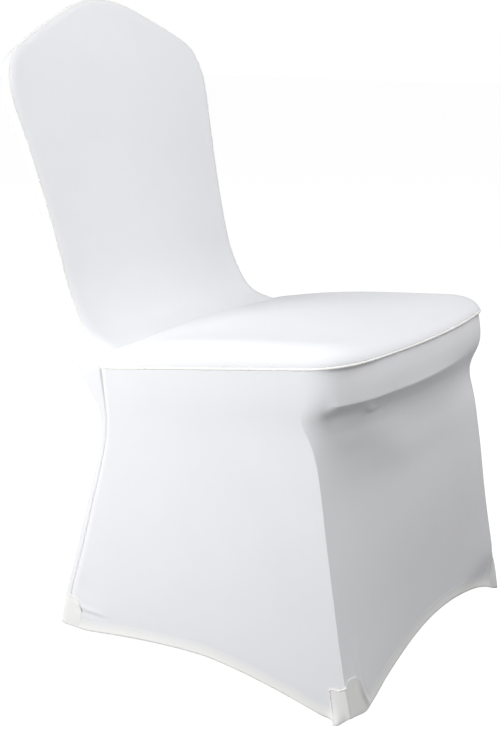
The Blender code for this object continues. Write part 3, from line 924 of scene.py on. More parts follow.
@dataclass
class CoverShape:
    """The whole cover's shape: where the seams run and how each panel lies between them."""

    back: BackShape = field(default_factory=BackShape)
    seat: SeatShape = field(default_factory=SeatShape)
    skirt: SkirtShape = field(default_factory=SkirtShape)
    face_bulge: float = 0.010
    face_fade: float = 0.12
    rear_bulge: float = 0.005
    rear_fade: float = 0.15
    roll_steps: int = 10
    inside_fades: tuple[float, float] = (0.36, 0.17)
    outside_fades: tuple[float, float] = (0.36, 0.24)
    hem_width: float = 0.016
    rear_hem_rows: int = 30
    foot_level: float = 0.80
    foot_beside: int = 46
    foot_ahead: int = 40
    rear_foot_beside: int = 24
    rear_foot_inner: int = 20
    outline: np.ndarray = field(init=False)
    seat_seam: np.ndarray = field(init=False)
    skirt_grid: np.ndarray = field(init=False)
    rear_ring: Grid = field(init=False)
    rear_patch: Grid = field(init=False)

    def __post_init__(self) -> None:
        """Works out the seams, the skirt and the rear once."""
        self.outline = self.back.outline()
        seams = {}
        for hand in Hand:
            plan = self.skirt.half_plan(0.0, hand)
            seams[hand] = np.column_stack([plan, self.seat.seam_z(plan[:, 1], self.back.corner())])
        self.seat_seam = seams[Hand.LEFT]
        self.skirt_grid = self.skirt.grid(seams)
        self.rear_ring, self.rear_patch = self._rear_grids()

    def top_seam(self) -> np.ndarray:
        """The seam right round the inside panel: down the back's left edge, round the seat and up again."""
        half = np.vstack([self.outline[:, :3], self.seat_seam[1:]])
        return np.vstack([half, half[-2::-1] * np.array([-1.0, 1.0, 1.0])])

    def leg_seam(self, hand: Hand) -> np.ndarray:
        """The seam down one rear leg, from the seat's corner to the hem."""
        return self.skirt_grid[:, 0 if hand is Hand.RIGHT else -1]

    def inside(self) -> Panel:
        """The cloth that runs down the front of the back and on over the seat.

        Returns:
            The panel, as its rolled edge and its middle.
        """
        seam = self.top_seam()
        steps = self.outline[:, 3:5] - self.outline[:, 1:3]
        back_lift = np.column_stack([np.zeros(len(steps)), steps])
        half_lift = np.vstack([back_lift, self.seat.lift(self.seat_seam[1:, 1])])
        lift = np.vstack([half_lift, half_lift[-2::-1]])
        half_roll = np.concatenate([self.outline[:, 7], np.full(len(self.seat_seam) - 1, self.seat.roll)])
        roll = np.concatenate([half_roll, half_roll[-2::-1]])
        ring = rolled_edge(seam, lift, roll, True, self.roll_steps)

        loop = ring.points[-1][:-1]
        count, span = len(loop), self.back.steps_crown
        middle = count // 2
        top = np.array([loop[i % count] for i in range(-span, span + 1)])
        right = loop[span : middle - span + 1]
        left = np.array([loop[(count - i) % count] for i in range(span, middle - span + 1)])
        bottom = np.array([loop[i] for i in range(middle + span, middle - span - 1, -1)])
        past_back = lengths_along(right) - lengths_along(right)[len(self.outline) - 1 - span]
        on_back = np.clip(0.5 - past_back / self.face_fade, 0.0, 1.0)
        size = self.face_bulge * on_back + self.seat.bulge * (1 - on_back)
        bulge = unit(lift[span : span + len(right)]) * size[:, None]
        patch = Patch(*self.inside_fades).fill(left, right, top, bottom, bulge)
        return Panel("inside_back_and_seat_cloth", [ring, patch], UNDER_SEAT_AND_BACK)

    def _rear_grids(self) -> tuple[Grid, Grid]:
        """The cloth behind the back and between the rear legs.

        Returns:
            Its rolled edge and its middle.
        """
        skirt = self.skirt
        leg_seam = self.leg_seam(Hand.LEFT)
        sizes = np.array([skirt.sizes(level) for level in skirt.levels()])
        heel = np.column_stack([leg_seam[:, 0], sizes[:, 9], leg_seam[:, 2] - sizes[:, 10]])
        half_seam = np.vstack([self.outline[:, :3], leg_seam[1:]])
        half_heel = np.vstack([np.column_stack([self.outline[:, 0], self.outline[:, 5:7]]), heel[1:]])
        half_roll = np.concatenate([self.outline[:, 8], np.full(len(heel) - 1, skirt.leg_roll)])
        seam = both_sides(half_seam)
        lift = both_sides(half_heel) - seam
        roll = np.concatenate([half_roll[:0:-1], half_roll])
        ring = rolled_edge(seam, lift, roll, False, self.roll_steps)

        run, span = ring.points[-1], self.back.steps_crown
        middle = len(run) // 2
        top = run[middle - span : middle + span + 1]
        right = run[middle + span :]
        left = run[middle - span :: -1]
        share = np.linspace(0.0, 1.0, len(top))[:, None]
        bottom = left[-1] * (1 - share) + right[-1] * share
        bottom[:, 2] += [arch(x, skirt.rear_half, skirt.rear_rise, 2.0) for x in bottom[:, 0]]
        to_waist = lengths_along(right)[len(self.outline) - 1 - span] - lengths_along(right)
        size = self.rear_bulge * np.clip(to_waist / self.rear_fade, 0.0, 1.0)
        bulge = unit(lift[middle + span :]) * size[:, None]
        return ring, Patch(*self.outside_fades).fill(left, right, top, bottom, bulge)

    def outside(self) -> Panel:
        """The cloth behind the back and between the rear legs, down to the rear hem.

        Returns:
            The panel, with the heights above its hem.
        """
        grids = []
        hems = (self.skirt.hem_z, self.rear_patch.points[-1:, :, 2])
        for grid, lowest in zip((self.rear_ring, self.rear_patch), hems):
            grids.append(Grid(grid.points, grid.distance, grid.run, grid.points[:, :, 2] - lowest))
        return Panel("outside_back_cloth", grids, AHEAD_OF_BACK)

    def around(self) -> Panel:
        """The skirt's cloth, round both sides and the front.

        Returns:
            The panel, with the heights above its hem.
        """
        below, across = sheet_runs(self.skirt_grid)
        beside = np.minimum(across, across[:, -1:] - across)
        run = np.where(below < beside, across, below)
        grid = Grid(self.skirt_grid, np.minimum(below, beside), run, below[-1] - below)
        return Panel("skirt_cloth", [grid], INSIDE_SKIRT)

    def hem_line(self) -> np.ndarray:
        """The line of stitches round the skirt's hem, a little above its edge."""
        return raised_line(self.skirt_grid, self.hem_width, INSIDE_SKIRT)

    def rear_hem_line(self) -> np.ndarray:
        """The line of stitches along the rear hem between the legs."""
        low = self.rear_patch.points[-self.rear_hem_rows :]
        return raised_line(low, self.hem_width, AHEAD_OF_BACK)

    def foot_rows(self, hand: Hand, end: End) -> tuple[np.ndarray, int]:
        """The cloth's lowest rows round one corner, from the side round to the front or the rear.

        Args:
            hand: the side of the cover.
            end: the front or the rear corner.

        Returns:
            The points as rows by columns by 3, and the column at the corner itself.
        """
        low = slice(int(np.searchsorted(self.skirt.levels(), self.foot_level)), None)
        side = self.skirt_grid if hand is Hand.RIGHT else self.skirt_grid[:, ::-1]
        if end is End.FRONT:
            crease = self.skirt.steps_side
            return side[low, crease - self.foot_beside : crease + self.foot_ahead], self.foot_beside
        count = len(self.skirt.levels()) - low.start
        ring = self.rear_ring.points
        wrapped = ring[:, -count:] if hand is Hand.LEFT else ring[:, count - 1 :: -1][:, :count]
        inner = self.rear_patch.points[-count:]
        inner = inner[:, ::-1] if hand is Hand.LEFT else inner
        wrapped = np.swapaxes(wrapped, 0, 1)
        beside = side[low, self.rear_foot_beside : 0 : -1]
        rows = np.concatenate([beside, wrapped, inner[:, 1 : self.rear_foot_inner]], axis=1)
        return rows, self.rear_foot_beside


@dataclass(frozen=True)
class Knit:
    """The white stretch knit: a smooth jersey of polyester and elastane with a soft sheen."""

    name: str = "white_stretch_knit"
    colour: tuple[float, float, float] = (0.86, 0.865, 0.885)
    shade: tuple[float, float, float] = (0.82, 0.825, 0.85)
    roughness: float = 0.72
    sheen: float = 0.18
    sheen_roughness: float = 0.5
    specular: float = 0.25
    pitch: float = 0.0011
    knit_depth: float = 0.000014
    pucker_depth: float = 0.0005
    pucker_reach: float = 0.010
    # Paler, warmer colour of the band along the hem: painted light, bounced up from the floor
    hem_painted_light_colour: tuple[float, float, float] = (0.985, 0.98, 0.96)
    hem_width: float = 0.017
    hem_fade: tuple[float, float] = (0.15, 1.10)

    def material(self) -> bpy.types.Material:
        """The knit as a material.

        Returns:
            A material whose loops, mottle, seam gathers and paler hem band come from nodes; the hem band's
            paler, warmer colour is painted light, bounced up from the floor.
        """
        made = bpy.data.materials.new(self.name)
        made.use_nodes = True
        nodes, links = made.node_tree.nodes, made.node_tree.links
        shader = nodes["Principled BSDF"]
        shader.inputs["Roughness"].default_value = self.roughness
        shader.inputs["Sheen Weight"].default_value = self.sheen
        shader.inputs["Sheen Roughness"].default_value = self.sheen_roughness
        shader.inputs["Specular IOR Level"].default_value = self.specular
        coords = nodes.new("ShaderNodeTexCoord")
        weave = nodes.new("ShaderNodeGroup")
        weave.node_tree = knit_group()
        weave.inputs["Pitch"].default_value = self.pitch
        weave.inputs["Depth"].default_value = self.knit_depth
        links.new(coords.outputs["Object"], weave.inputs["Place"])
        pucker = nodes.new("ShaderNodeGroup")
        pucker.node_tree = pucker_group()
        pucker.inputs["Depth"].default_value = self.pucker_depth
        pucker.inputs["Reach"].default_value = self.pucker_reach
        for attribute, socket in (("seam_distance", "Distance"), ("seam_run", "Run")):
            reader = nodes.new("ShaderNodeAttribute")
            reader.attribute_name = attribute
            links.new(reader.outputs["Fac"], pucker.inputs[socket])
        total = nodes.new("ShaderNodeMath")
        total.operation = "ADD"
        links.new(weave.outputs["Height"], total.inputs[0])
        links.new(pucker.outputs["Height"], total.inputs[1])
        bump = nodes.new("ShaderNodeBump")
        bump.inputs["Strength"].default_value = 1.0
        bump.inputs["Distance"].default_value = 1.0
        links.new(total.outputs[0], bump.inputs["Height"])
        links.new(bump.outputs["Normal"], shader.inputs["Normal"])
        mix = nodes.new("ShaderNodeMix")
        mix.data_type = "RGBA"
        mix.inputs["A"].default_value = (*self.colour, 1.0)
        mix.inputs["B"].default_value = (*self.shade, 1.0)
        links.new(weave.outputs["Mottle"], mix.inputs["Factor"])
        # The band along the hem is painted light from the floor's bounce: full at the hem's edge, fading out
        # a little way up
        hem = nodes.new("ShaderNodeAttribute")
        hem.attribute_name = "hem_height"
        band = nodes.new("ShaderNodeMapRange")
        band.inputs["From Min"].default_value = self.hem_width * self.hem_fade[0]
        band.inputs["From Max"].default_value = self.hem_width * self.hem_fade[1]
        band.inputs["To Min"].default_value = 1.0
        band.inputs["To Max"].default_value = 0.0
        links.new(hem.outputs["Fac"], band.inputs["Value"])
        # Mixes the painted hem light, not a colour of the doubled cloth, over the knit's colour
        doubled = nodes.new("ShaderNodeMix")
        doubled.data_type = "RGBA"
        doubled.inputs["B"].default_value = (*self.hem_painted_light_colour, 1.0)
        links.new(band.outputs["Result"], doubled.inputs["Factor"])
        links.new(mix.outputs["Result"], doubled.inputs["A"])
        links.new(doubled.outputs["Result"], shader.inputs["Base Color"])
        return made


def math_node(
    tree: bpy.types.NodeTree, operation: str, first: object, second: object = None
) -> bpy.types.NodeSocket:
    """Adds a Math node.

    Args:
        tree: the node tree that it goes in.
        operation: the node's operation.
        first: a number or the socket that feeds the first input.
        second: the same for the second input, where it has one.

    Returns:
        The node's output socket.
    """
    node = tree.nodes.new("ShaderNodeMath")
    node.operation = operation
    for socket, value in zip(node.inputs, (first, second)):
        if isinstance(value, bpy.types.NodeSocket):
            tree.links.new(value, socket)
        elif value is not None:
            socket.default_value = value
    return node.outputs[0]


def new_group(
    name: str, inputs: dict[str, str], outputs: dict[str, str]
) -> tuple[bpy.types.NodeTree, bpy.types.Node, bpy.types.Node]:
    """Makes a shader node group.

    Args:
        name: the group's name.
        inputs: the socket type of each named input.
        outputs: the socket type of each named output.

    Returns:
        The group, its input node and its output node.
    """
    tree = bpy.data.node_groups.new(name, "ShaderNodeTree")
    for way, sockets in (("INPUT", inputs), ("OUTPUT", outputs)):
        for label, kind in sockets.items():
            tree.interface.new_socket(label, in_out=way, socket_type=kind)
    return tree, tree.nodes.new("NodeGroupInput"), tree.nodes.new("NodeGroupOutput")


def knit_group() -> bpy.types.NodeTree:
    """The knit's fine loops and a faint mottle, built once and shared.

    Returns:
        A group with the outputs Height and Mottle.
    """
    name = "Knit loops"
    if name in bpy.data.node_groups:
        return bpy.data.node_groups[name]
    tree, given, result = new_group(
        name,
        {"Place": "NodeSocketVector", "Pitch": "NodeSocketFloat", "Depth": "NodeSocketFloat"},
        {"Height": "NodeSocketFloat", "Mottle": "NodeSocketFloat"},
    )
    split = tree.nodes.new("ShaderNodeSeparateXYZ")
    tree.links.new(given.outputs["Place"], split.inputs[0])
    turns = math_node(tree, "DIVIDE", math.tau, given.outputs["Pitch"])
    waves = [math_node(tree, "SINE", math_node(tree, "MULTIPLY", axis, turns)) for axis in split.outputs]
    loops = math_node(tree, "ADD", math_node(tree, "ADD", waves[0], waves[1]), waves[2])
    tree.links.new(math_node(tree, "MULTIPLY", loops, given.outputs["Depth"]), result.inputs["Height"])
    noise = tree.nodes.new("ShaderNodeTexNoise")
    noise.inputs["Scale"].default_value = MOTTLE_SCALE
    noise.inputs["Detail"].default_value = MOTTLE_DETAIL
    tree.links.new(given.outputs["Place"], noise.inputs["Vector"])
    tree.links.new(noise.outputs["Fac"], result.inputs["Mottle"])
    return tree


def pucker_group() -> bpy.types.NodeTree:
    """Small gathers that run out from a seam and fade away from it, built once and shared.

    Returns:
        A group with the output Height.
    """
    name = "Seam gathers"
    if name in bpy.data.node_groups:
        return bpy.data.node_groups[name]
    tree, given, result = new_group(
        name,
        {
            "Distance": "NodeSocketFloat", "Run": "NodeSocketFloat",
            "Depth": "NodeSocketFloat", "Reach": "NodeSocketFloat",
        },
        {"Height": "NodeSocketFloat"},
    )
    noise = tree.nodes.new("ShaderNodeTexNoise")
    noise.noise_dimensions = "1D"
    noise.inputs["Scale"].default_value = GATHER_SCALE
    noise.inputs["Detail"].default_value = GATHER_DETAIL
    tree.links.new(given.outputs["Run"], noise.inputs["W"])
    near = math_node(tree, "DIVIDE", given.outputs["Distance"], given.outputs["Reach"])
    fade = math_node(tree, "MAXIMUM", math_node(tree, "SUBTRACT", 1.0, near), 0.0)
    gathers = math_node(tree, "MULTIPLY", noise.outputs["Fac"], math_node(tree, "POWER", fade, 2.0))
    tree.links.new(math_node(tree, "MULTIPLY", gathers, given.outputs["Depth"]), result.inputs["Height"])
    return tree


@dataclass(frozen=True)
class Softbox:
    """One soft light: where it hangs, its width and height in metres and its power in watts."""

    name: str
    place: tuple[float, float, float]
    size: tuple[float, float]
    power: float
    aim: tuple[float, float, float] = (0.0, 0.0, 0.4)


@dataclass
class Studio:
    """The plain floor, the soft lights and the camera."""

    yaw: float = -56.8
    pitch: float = -15.06
    focal_px: float = 1219.73
    centre_px: tuple[float, float] = (315.83, 345.26)
    image_px: tuple[int, int] = (500, 729)
    sensor_mm: float = 36.0
    eye: tuple[float, float, float] = (-1.40885, -0.97359 - DEPTH_CENTRE_Y, 0.8785)
    ambient: float = 0.02
    ambient_colour: tuple[float, float, float, float] = (0.93, 0.95, 1.0, 1.0)
    softboxes: tuple[Softbox, ...] = (
        Softbox("overhead", (0.35, -0.90, 2.50), (1.3, 1.3), 31.2),
        Softbox("back_fill", (-0.10, -1.50, 1.70), (0.8, 0.8), 9.5, (0.0, 0.25, 0.75)),
        Softbox("key", (-1.80, 1.60, 0.85), (1.3, 1.3), 41.0),
        Softbox("right_side", (-1.35, 0.15, 0.90), (0.9, 0.9), 8.6),
        Softbox("front_fill", (-0.30, -2.30, 0.65), (1.2, 1.2), 5.7),
        Softbox("left_fill", (0.90, -1.90, 0.60), (1.0, 1.0), 1.2),
    )
    backdrop: float = 1.0
    floor_size: float = 14.0
    floor_colour: tuple[float, float, float, float] = (0.28, 0.28, 0.28, 1.0)
    floor_glow: float = 0.98

    def camera(self) -> bpy.types.Object:
        """The camera at the photograph's viewing angle.

        Returns:
            The camera, which is the scene's own.
        """
        yaw, pitch = math.radians(self.yaw), math.radians(self.pitch)
        ahead = Vector((-math.sin(yaw) * math.cos(pitch), math.cos(yaw) * math.cos(pitch), math.sin(pitch)))
        right = Vector((math.cos(yaw), math.sin(yaw), 0.0))
        turn = Matrix((right, right.cross(ahead), -ahead)).transposed().to_4x4()
        turn.translation = self.eye
        width, height = self.image_px
        data = bpy.data.cameras.new("camera")
        data.sensor_width = self.sensor_mm
        data.lens = self.focal_px * self.sensor_mm / height
        data.shift_x = (width / 2 - self.centre_px[0]) / height
        data.shift_y = (self.centre_px[1] - height / 2) / height
        camera = bpy.data.objects.new("camera", data)
        camera.matrix_world = turn
        bpy.context.scene.collection.objects.link(camera)
        bpy.context.scene.camera = camera
        return camera

    def area(self, softbox: Softbox) -> None:
        """Hangs one softbox so that it faces its aim.

        Args:
            softbox: the light's place, size, power and aim.
        """
        data = bpy.data.lights.new(softbox.name, "AREA")
        data.shape = "RECTANGLE"
        data.size, data.size_y = softbox.size
        data.energy = softbox.power
        light = bpy.data.objects.new(softbox.name, data)
        turn = (Vector(softbox.aim) - Vector(softbox.place)).to_track_quat("-Z", "Y").to_matrix().to_4x4()
        light.matrix_world = Matrix.Translation(softbox.place) @ turn
        light.visible_camera = False
        bpy.context.scene.collection.objects.link(light)

    def lights(self) -> None:
        """Softboxes round the cover, weak light from everywhere and a backdrop that the camera alone sees."""
        for softbox in self.softboxes:
            self.area(softbox)
        world = bpy.data.worlds.new("studio")
        world.use_nodes = True
        nodes, links = world.node_tree.nodes, world.node_tree.links
        nodes["Background"].inputs["Color"].default_value = self.ambient_colour
        nodes["Background"].inputs["Strength"].default_value = self.ambient
        backdrop = nodes.new("ShaderNodeBackground")
        backdrop.inputs["Color"].default_value = (1.0, 1.0, 1.0, 1.0)
        backdrop.inputs["Strength"].default_value = self.backdrop
        path = nodes.new("ShaderNodeLightPath")
        mix = nodes.new("ShaderNodeMixShader")
        links.new(path.outputs["Is Camera Ray"], mix.inputs[0])
        links.new(nodes["Background"].outputs[0], mix.inputs[1])
        links.new(backdrop.outputs[0], mix.inputs[2])
        links.new(mix.outputs[0], nodes["World Output"].inputs["Surface"])
        bpy.context.scene.world = world
        bpy.context.scene.view_settings.view_transform = "Standard"

    def floor(self) -> bpy.types.Object:
        """A flat grey floor that the camera sees as white as the backdrop.

        Returns:
            The floor, which isn't part of the cover.
        """
        mesh = bmesh.new()
        bmesh.ops.create_grid(mesh, x_segments=1, y_segments=1, size=self.floor_size)
        data = bpy.data.meshes.new("floor")
        mesh.to_mesh(data)
        mesh.free()
        material = bpy.data.materials.new("studio_floor")
        material.use_nodes = True
        shader = material.node_tree.nodes["Principled BSDF"]
        shader.inputs["Base Color"].default_value = self.floor_colour
        shader.inputs["Roughness"].default_value = 1.0
        shader.inputs["Specular IOR Level"].default_value = 0.0
        shader.inputs["Emission Strength"].default_value = 1.0
        path = material.node_tree.nodes.new("ShaderNodeLightPath")
        glow = math_node(material.node_tree, "MULTIPLY", path.outputs["Is Camera Ray"], self.floor_glow)
        material.node_tree.links.new(glow, shader.inputs["Emission Color"])
        data.materials.append(material)
        floor = bpy.data.objects.new("floor", data)
        bpy.context.scene.collection.objects.link(floor)
        return floor


@dataclass(frozen=True)
class Thread:
    """The overlock thread of the seams and hems: bright white, a little glossier than the knit, and lighter
    than it, partly the thread's own white and partly a painted highlight along the raised seams.
    """

    name: str = "overlock_thread"
    # Lighter than the knit: partly the thread's own white, partly a painted highlight where the seams' ridges
    # catch the light
    colour: tuple[float, float, float] = (0.955, 0.95, 0.925)
    roughness: float = 0.55
    sheen: float = 0.2
    pitch: float = 0.0007
    twist_depth: float = 0.00002
    shade: float = 0.94

    def material(self) -> bpy.types.Material:
        """The thread as a material.

        Returns:
            A material with a fine twist and a faint mottle from nodes.
        """
        made = bpy.data.materials.new(self.name)
        made.use_nodes = True
        nodes, links = made.node_tree.nodes, made.node_tree.links
        shader = nodes["Principled BSDF"]
        shader.inputs["Roughness"].default_value = self.roughness
        shader.inputs["Sheen Weight"].default_value = self.sheen
        coords = nodes.new("ShaderNodeTexCoord")
        weave = nodes.new("ShaderNodeGroup")
        weave.node_tree = knit_group()
        weave.inputs["Pitch"].default_value = self.pitch
        weave.inputs["Depth"].default_value = self.twist_depth
        links.new(coords.outputs["Object"], weave.inputs["Place"])
        bump = nodes.new("ShaderNodeBump")
        bump.inputs["Distance"].default_value = 1.0
        links.new(weave.outputs["Height"], bump.inputs["Height"])
        links.new(bump.outputs["Normal"], shader.inputs["Normal"])
        mix = nodes.new("ShaderNodeMix")
        mix.data_type = "RGBA"
        mix.inputs["A"].default_value = (*self.colour, 1.0)
        mix.inputs["B"].default_value = (*(self.shade * c for c in self.colour), 1.0)
        links.new(weave.outputs["Mottle"], mix.inputs["Factor"])
        links.new(mix.outputs["Result"], shader.inputs["Base Color"])
        return made


@dataclass
class SeamWork:
    """Sewing that follows a line: a raised ridge where two cloths meet, and stitches spaced along it."""

    ridge_radius: float = 0.0017
    ridge_wave: float = 0.55
    spacing: float = 0.0115
    stitch_length: float = 0.0056
    stitch_radius: float = 0.0019
    seed: int = 7
    ridge_step: float = 0.003
    ridge_noise: float = 120.0
    ridge_sides: int = 6
    bead_sides: tuple[int, int] = (6, 4)
    bead_sizes: tuple[float, float] = (0.75, 1.2)

    def tree(self) -> bpy.types.NodeTree:
        """The geometry nodes, built once and shared by all the seams.

        Returns:
            A tree with named inputs for the ridge's and the stitches' sizes.
        """
        name = "Seam work"
        if name in bpy.data.node_groups:
            return bpy.data.node_groups[name]
        tree = bpy.data.node_groups.new(name, "GeometryNodeTree")
        tree.interface.new_socket("Geometry", in_out="INPUT", socket_type="NodeSocketGeometry")
        for label in ("Ridge radius", "Ridge wave", "Spacing", "Stitch length", "Stitch radius"):
            tree.interface.new_socket(label, in_out="INPUT", socket_type="NodeSocketFloat")
        tree.interface.new_socket("Seed", in_out="INPUT", socket_type="NodeSocketInt")
        tree.interface.new_socket("Thread", in_out="INPUT", socket_type="NodeSocketMaterial")
        tree.interface.new_socket("Geometry", in_out="OUTPUT", socket_type="NodeSocketGeometry")
        node, link = tree.nodes.new, tree.links.new
        given, result = node("NodeGroupInput"), node("NodeGroupOutput")
        line = node("GeometryNodeMeshToCurve")
        link(given.outputs["Geometry"], line.inputs["Mesh"])

        finer = node("GeometryNodeResampleCurve")
        finer.mode = "LENGTH"
        finer.inputs["Length"].default_value = self.ridge_step
        link(line.outputs["Curve"], finer.inputs["Curve"])
        noise = node("ShaderNodeTexNoise")
        noise.inputs["Scale"].default_value = self.ridge_noise
        sway = math_node(tree, "SUBTRACT", noise.outputs["Fac"], 0.5)
        most = math_node(tree, "MULTIPLY", given.outputs["Ridge wave"], 2.0)
        widen = math_node(tree, "ADD", math_node(tree, "MULTIPLY", sway, most), 1.0)
        radius = math_node(tree, "MULTIPLY", widen, given.outputs["Ridge radius"])
        profile = node("GeometryNodeCurvePrimitiveCircle")
        profile.inputs["Resolution"].default_value = self.ridge_sides
        profile.inputs["Radius"].default_value = 1.0
        tube = node("GeometryNodeCurveToMesh")
        tube.inputs["Fill Caps"].default_value = True
        link(finer.outputs["Curve"], tube.inputs["Curve"])
        link(profile.outputs["Curve"], tube.inputs["Profile Curve"])
        link(radius, tube.inputs["Scale"])

        spots = node("GeometryNodeCurveToPoints")
        spots.mode = "LENGTH"
        link(line.outputs["Curve"], spots.inputs["Curve"])
        link(given.outputs["Spacing"], spots.inputs["Length"])
        bead = node("GeometryNodeMeshUVSphere")
        bead.inputs["Segments"].default_value, bead.inputs["Rings"].default_value = self.bead_sides
        bead.inputs["Radius"].default_value = 1.0
        size = node("ShaderNodeCombineXYZ")
        link(given.outputs["Stitch radius"], size.inputs["X"])
        link(given.outputs["Stitch radius"], size.inputs["Y"])
        link(math_node(tree, "MULTIPLY", given.outputs["Stitch length"], 0.5), size.inputs["Z"])
        chance = node("FunctionNodeRandomValue")
        chance.data_type = "FLOAT"
        chance.inputs[2].default_value, chance.inputs[3].default_value = self.bead_sizes
        link(given.outputs["Seed"], chance.inputs["Seed"])
        grown = node("ShaderNodeVectorMath")
        grown.operation = "SCALE"
        link(size.outputs["Vector"], grown.inputs[0])
        link(chance.outputs[1], grown.inputs["Scale"])
        stitches = node("GeometryNodeInstanceOnPoints")
        link(spots.outputs["Points"], stitches.inputs["Points"])
        link(bead.outputs["Mesh"], stitches.inputs["Instance"])
        link(spots.outputs["Rotation"], stitches.inputs["Rotation"])
        link(grown.outputs["Vector"], stitches.inputs["Scale"])

        both = node("GeometryNodeJoinGeometry")
        link(tube.outputs["Mesh"], both.inputs["Geometry"])
        link(stitches.outputs["Instances"], both.inputs["Geometry"])
        real = node("GeometryNodeRealizeInstances")
        link(both.outputs["Geometry"], real.inputs["Geometry"])
        finish = node("GeometryNodeSetMaterial")
        link(real.outputs["Geometry"], finish.inputs["Geometry"])
        link(given.outputs["Thread"], finish.inputs["Material"])
        link(finish.outputs["Geometry"], result.inputs["Geometry"])
        return tree

    def sew(self, name: str, line: np.ndarray, thread: bpy.types.Material) -> bpy.types.Object:
        """Sews along a line.

        Args:
            name: the piece's name.
            line: the places of the line, before the cover is centred.
            thread: the thread's material.

        Returns:
            The finished piece.
        """
        data = bpy.data.meshes.new(name)
        places = line - np.array([0.0, DEPTH_CENTRE_Y, 0.0])
        data.from_pydata(places.tolist(), [(i, i + 1) for i in range(len(line) - 1)], [])
        piece = bpy.data.objects.new(name, data)
        bpy.context.scene.collection.objects.link(piece)
        work = piece.modifiers.new("Seam work", "NODES")
        work.node_group = self.tree()
        values = {
            "Ridge radius": self.ridge_radius, "Ridge wave": self.ridge_wave, "Spacing": self.spacing,
            "Stitch length": self.stitch_length, "Stitch radius": self.stitch_radius,
            "Seed": self.seed, "Thread": thread,
        }
        for socket in work.node_group.interface.items_tree:
            if socket.item_type == "SOCKET" and socket.in_out == "INPUT" and socket.name in values:
                work[socket.identifier] = values[socket.name]
        return finished(piece)


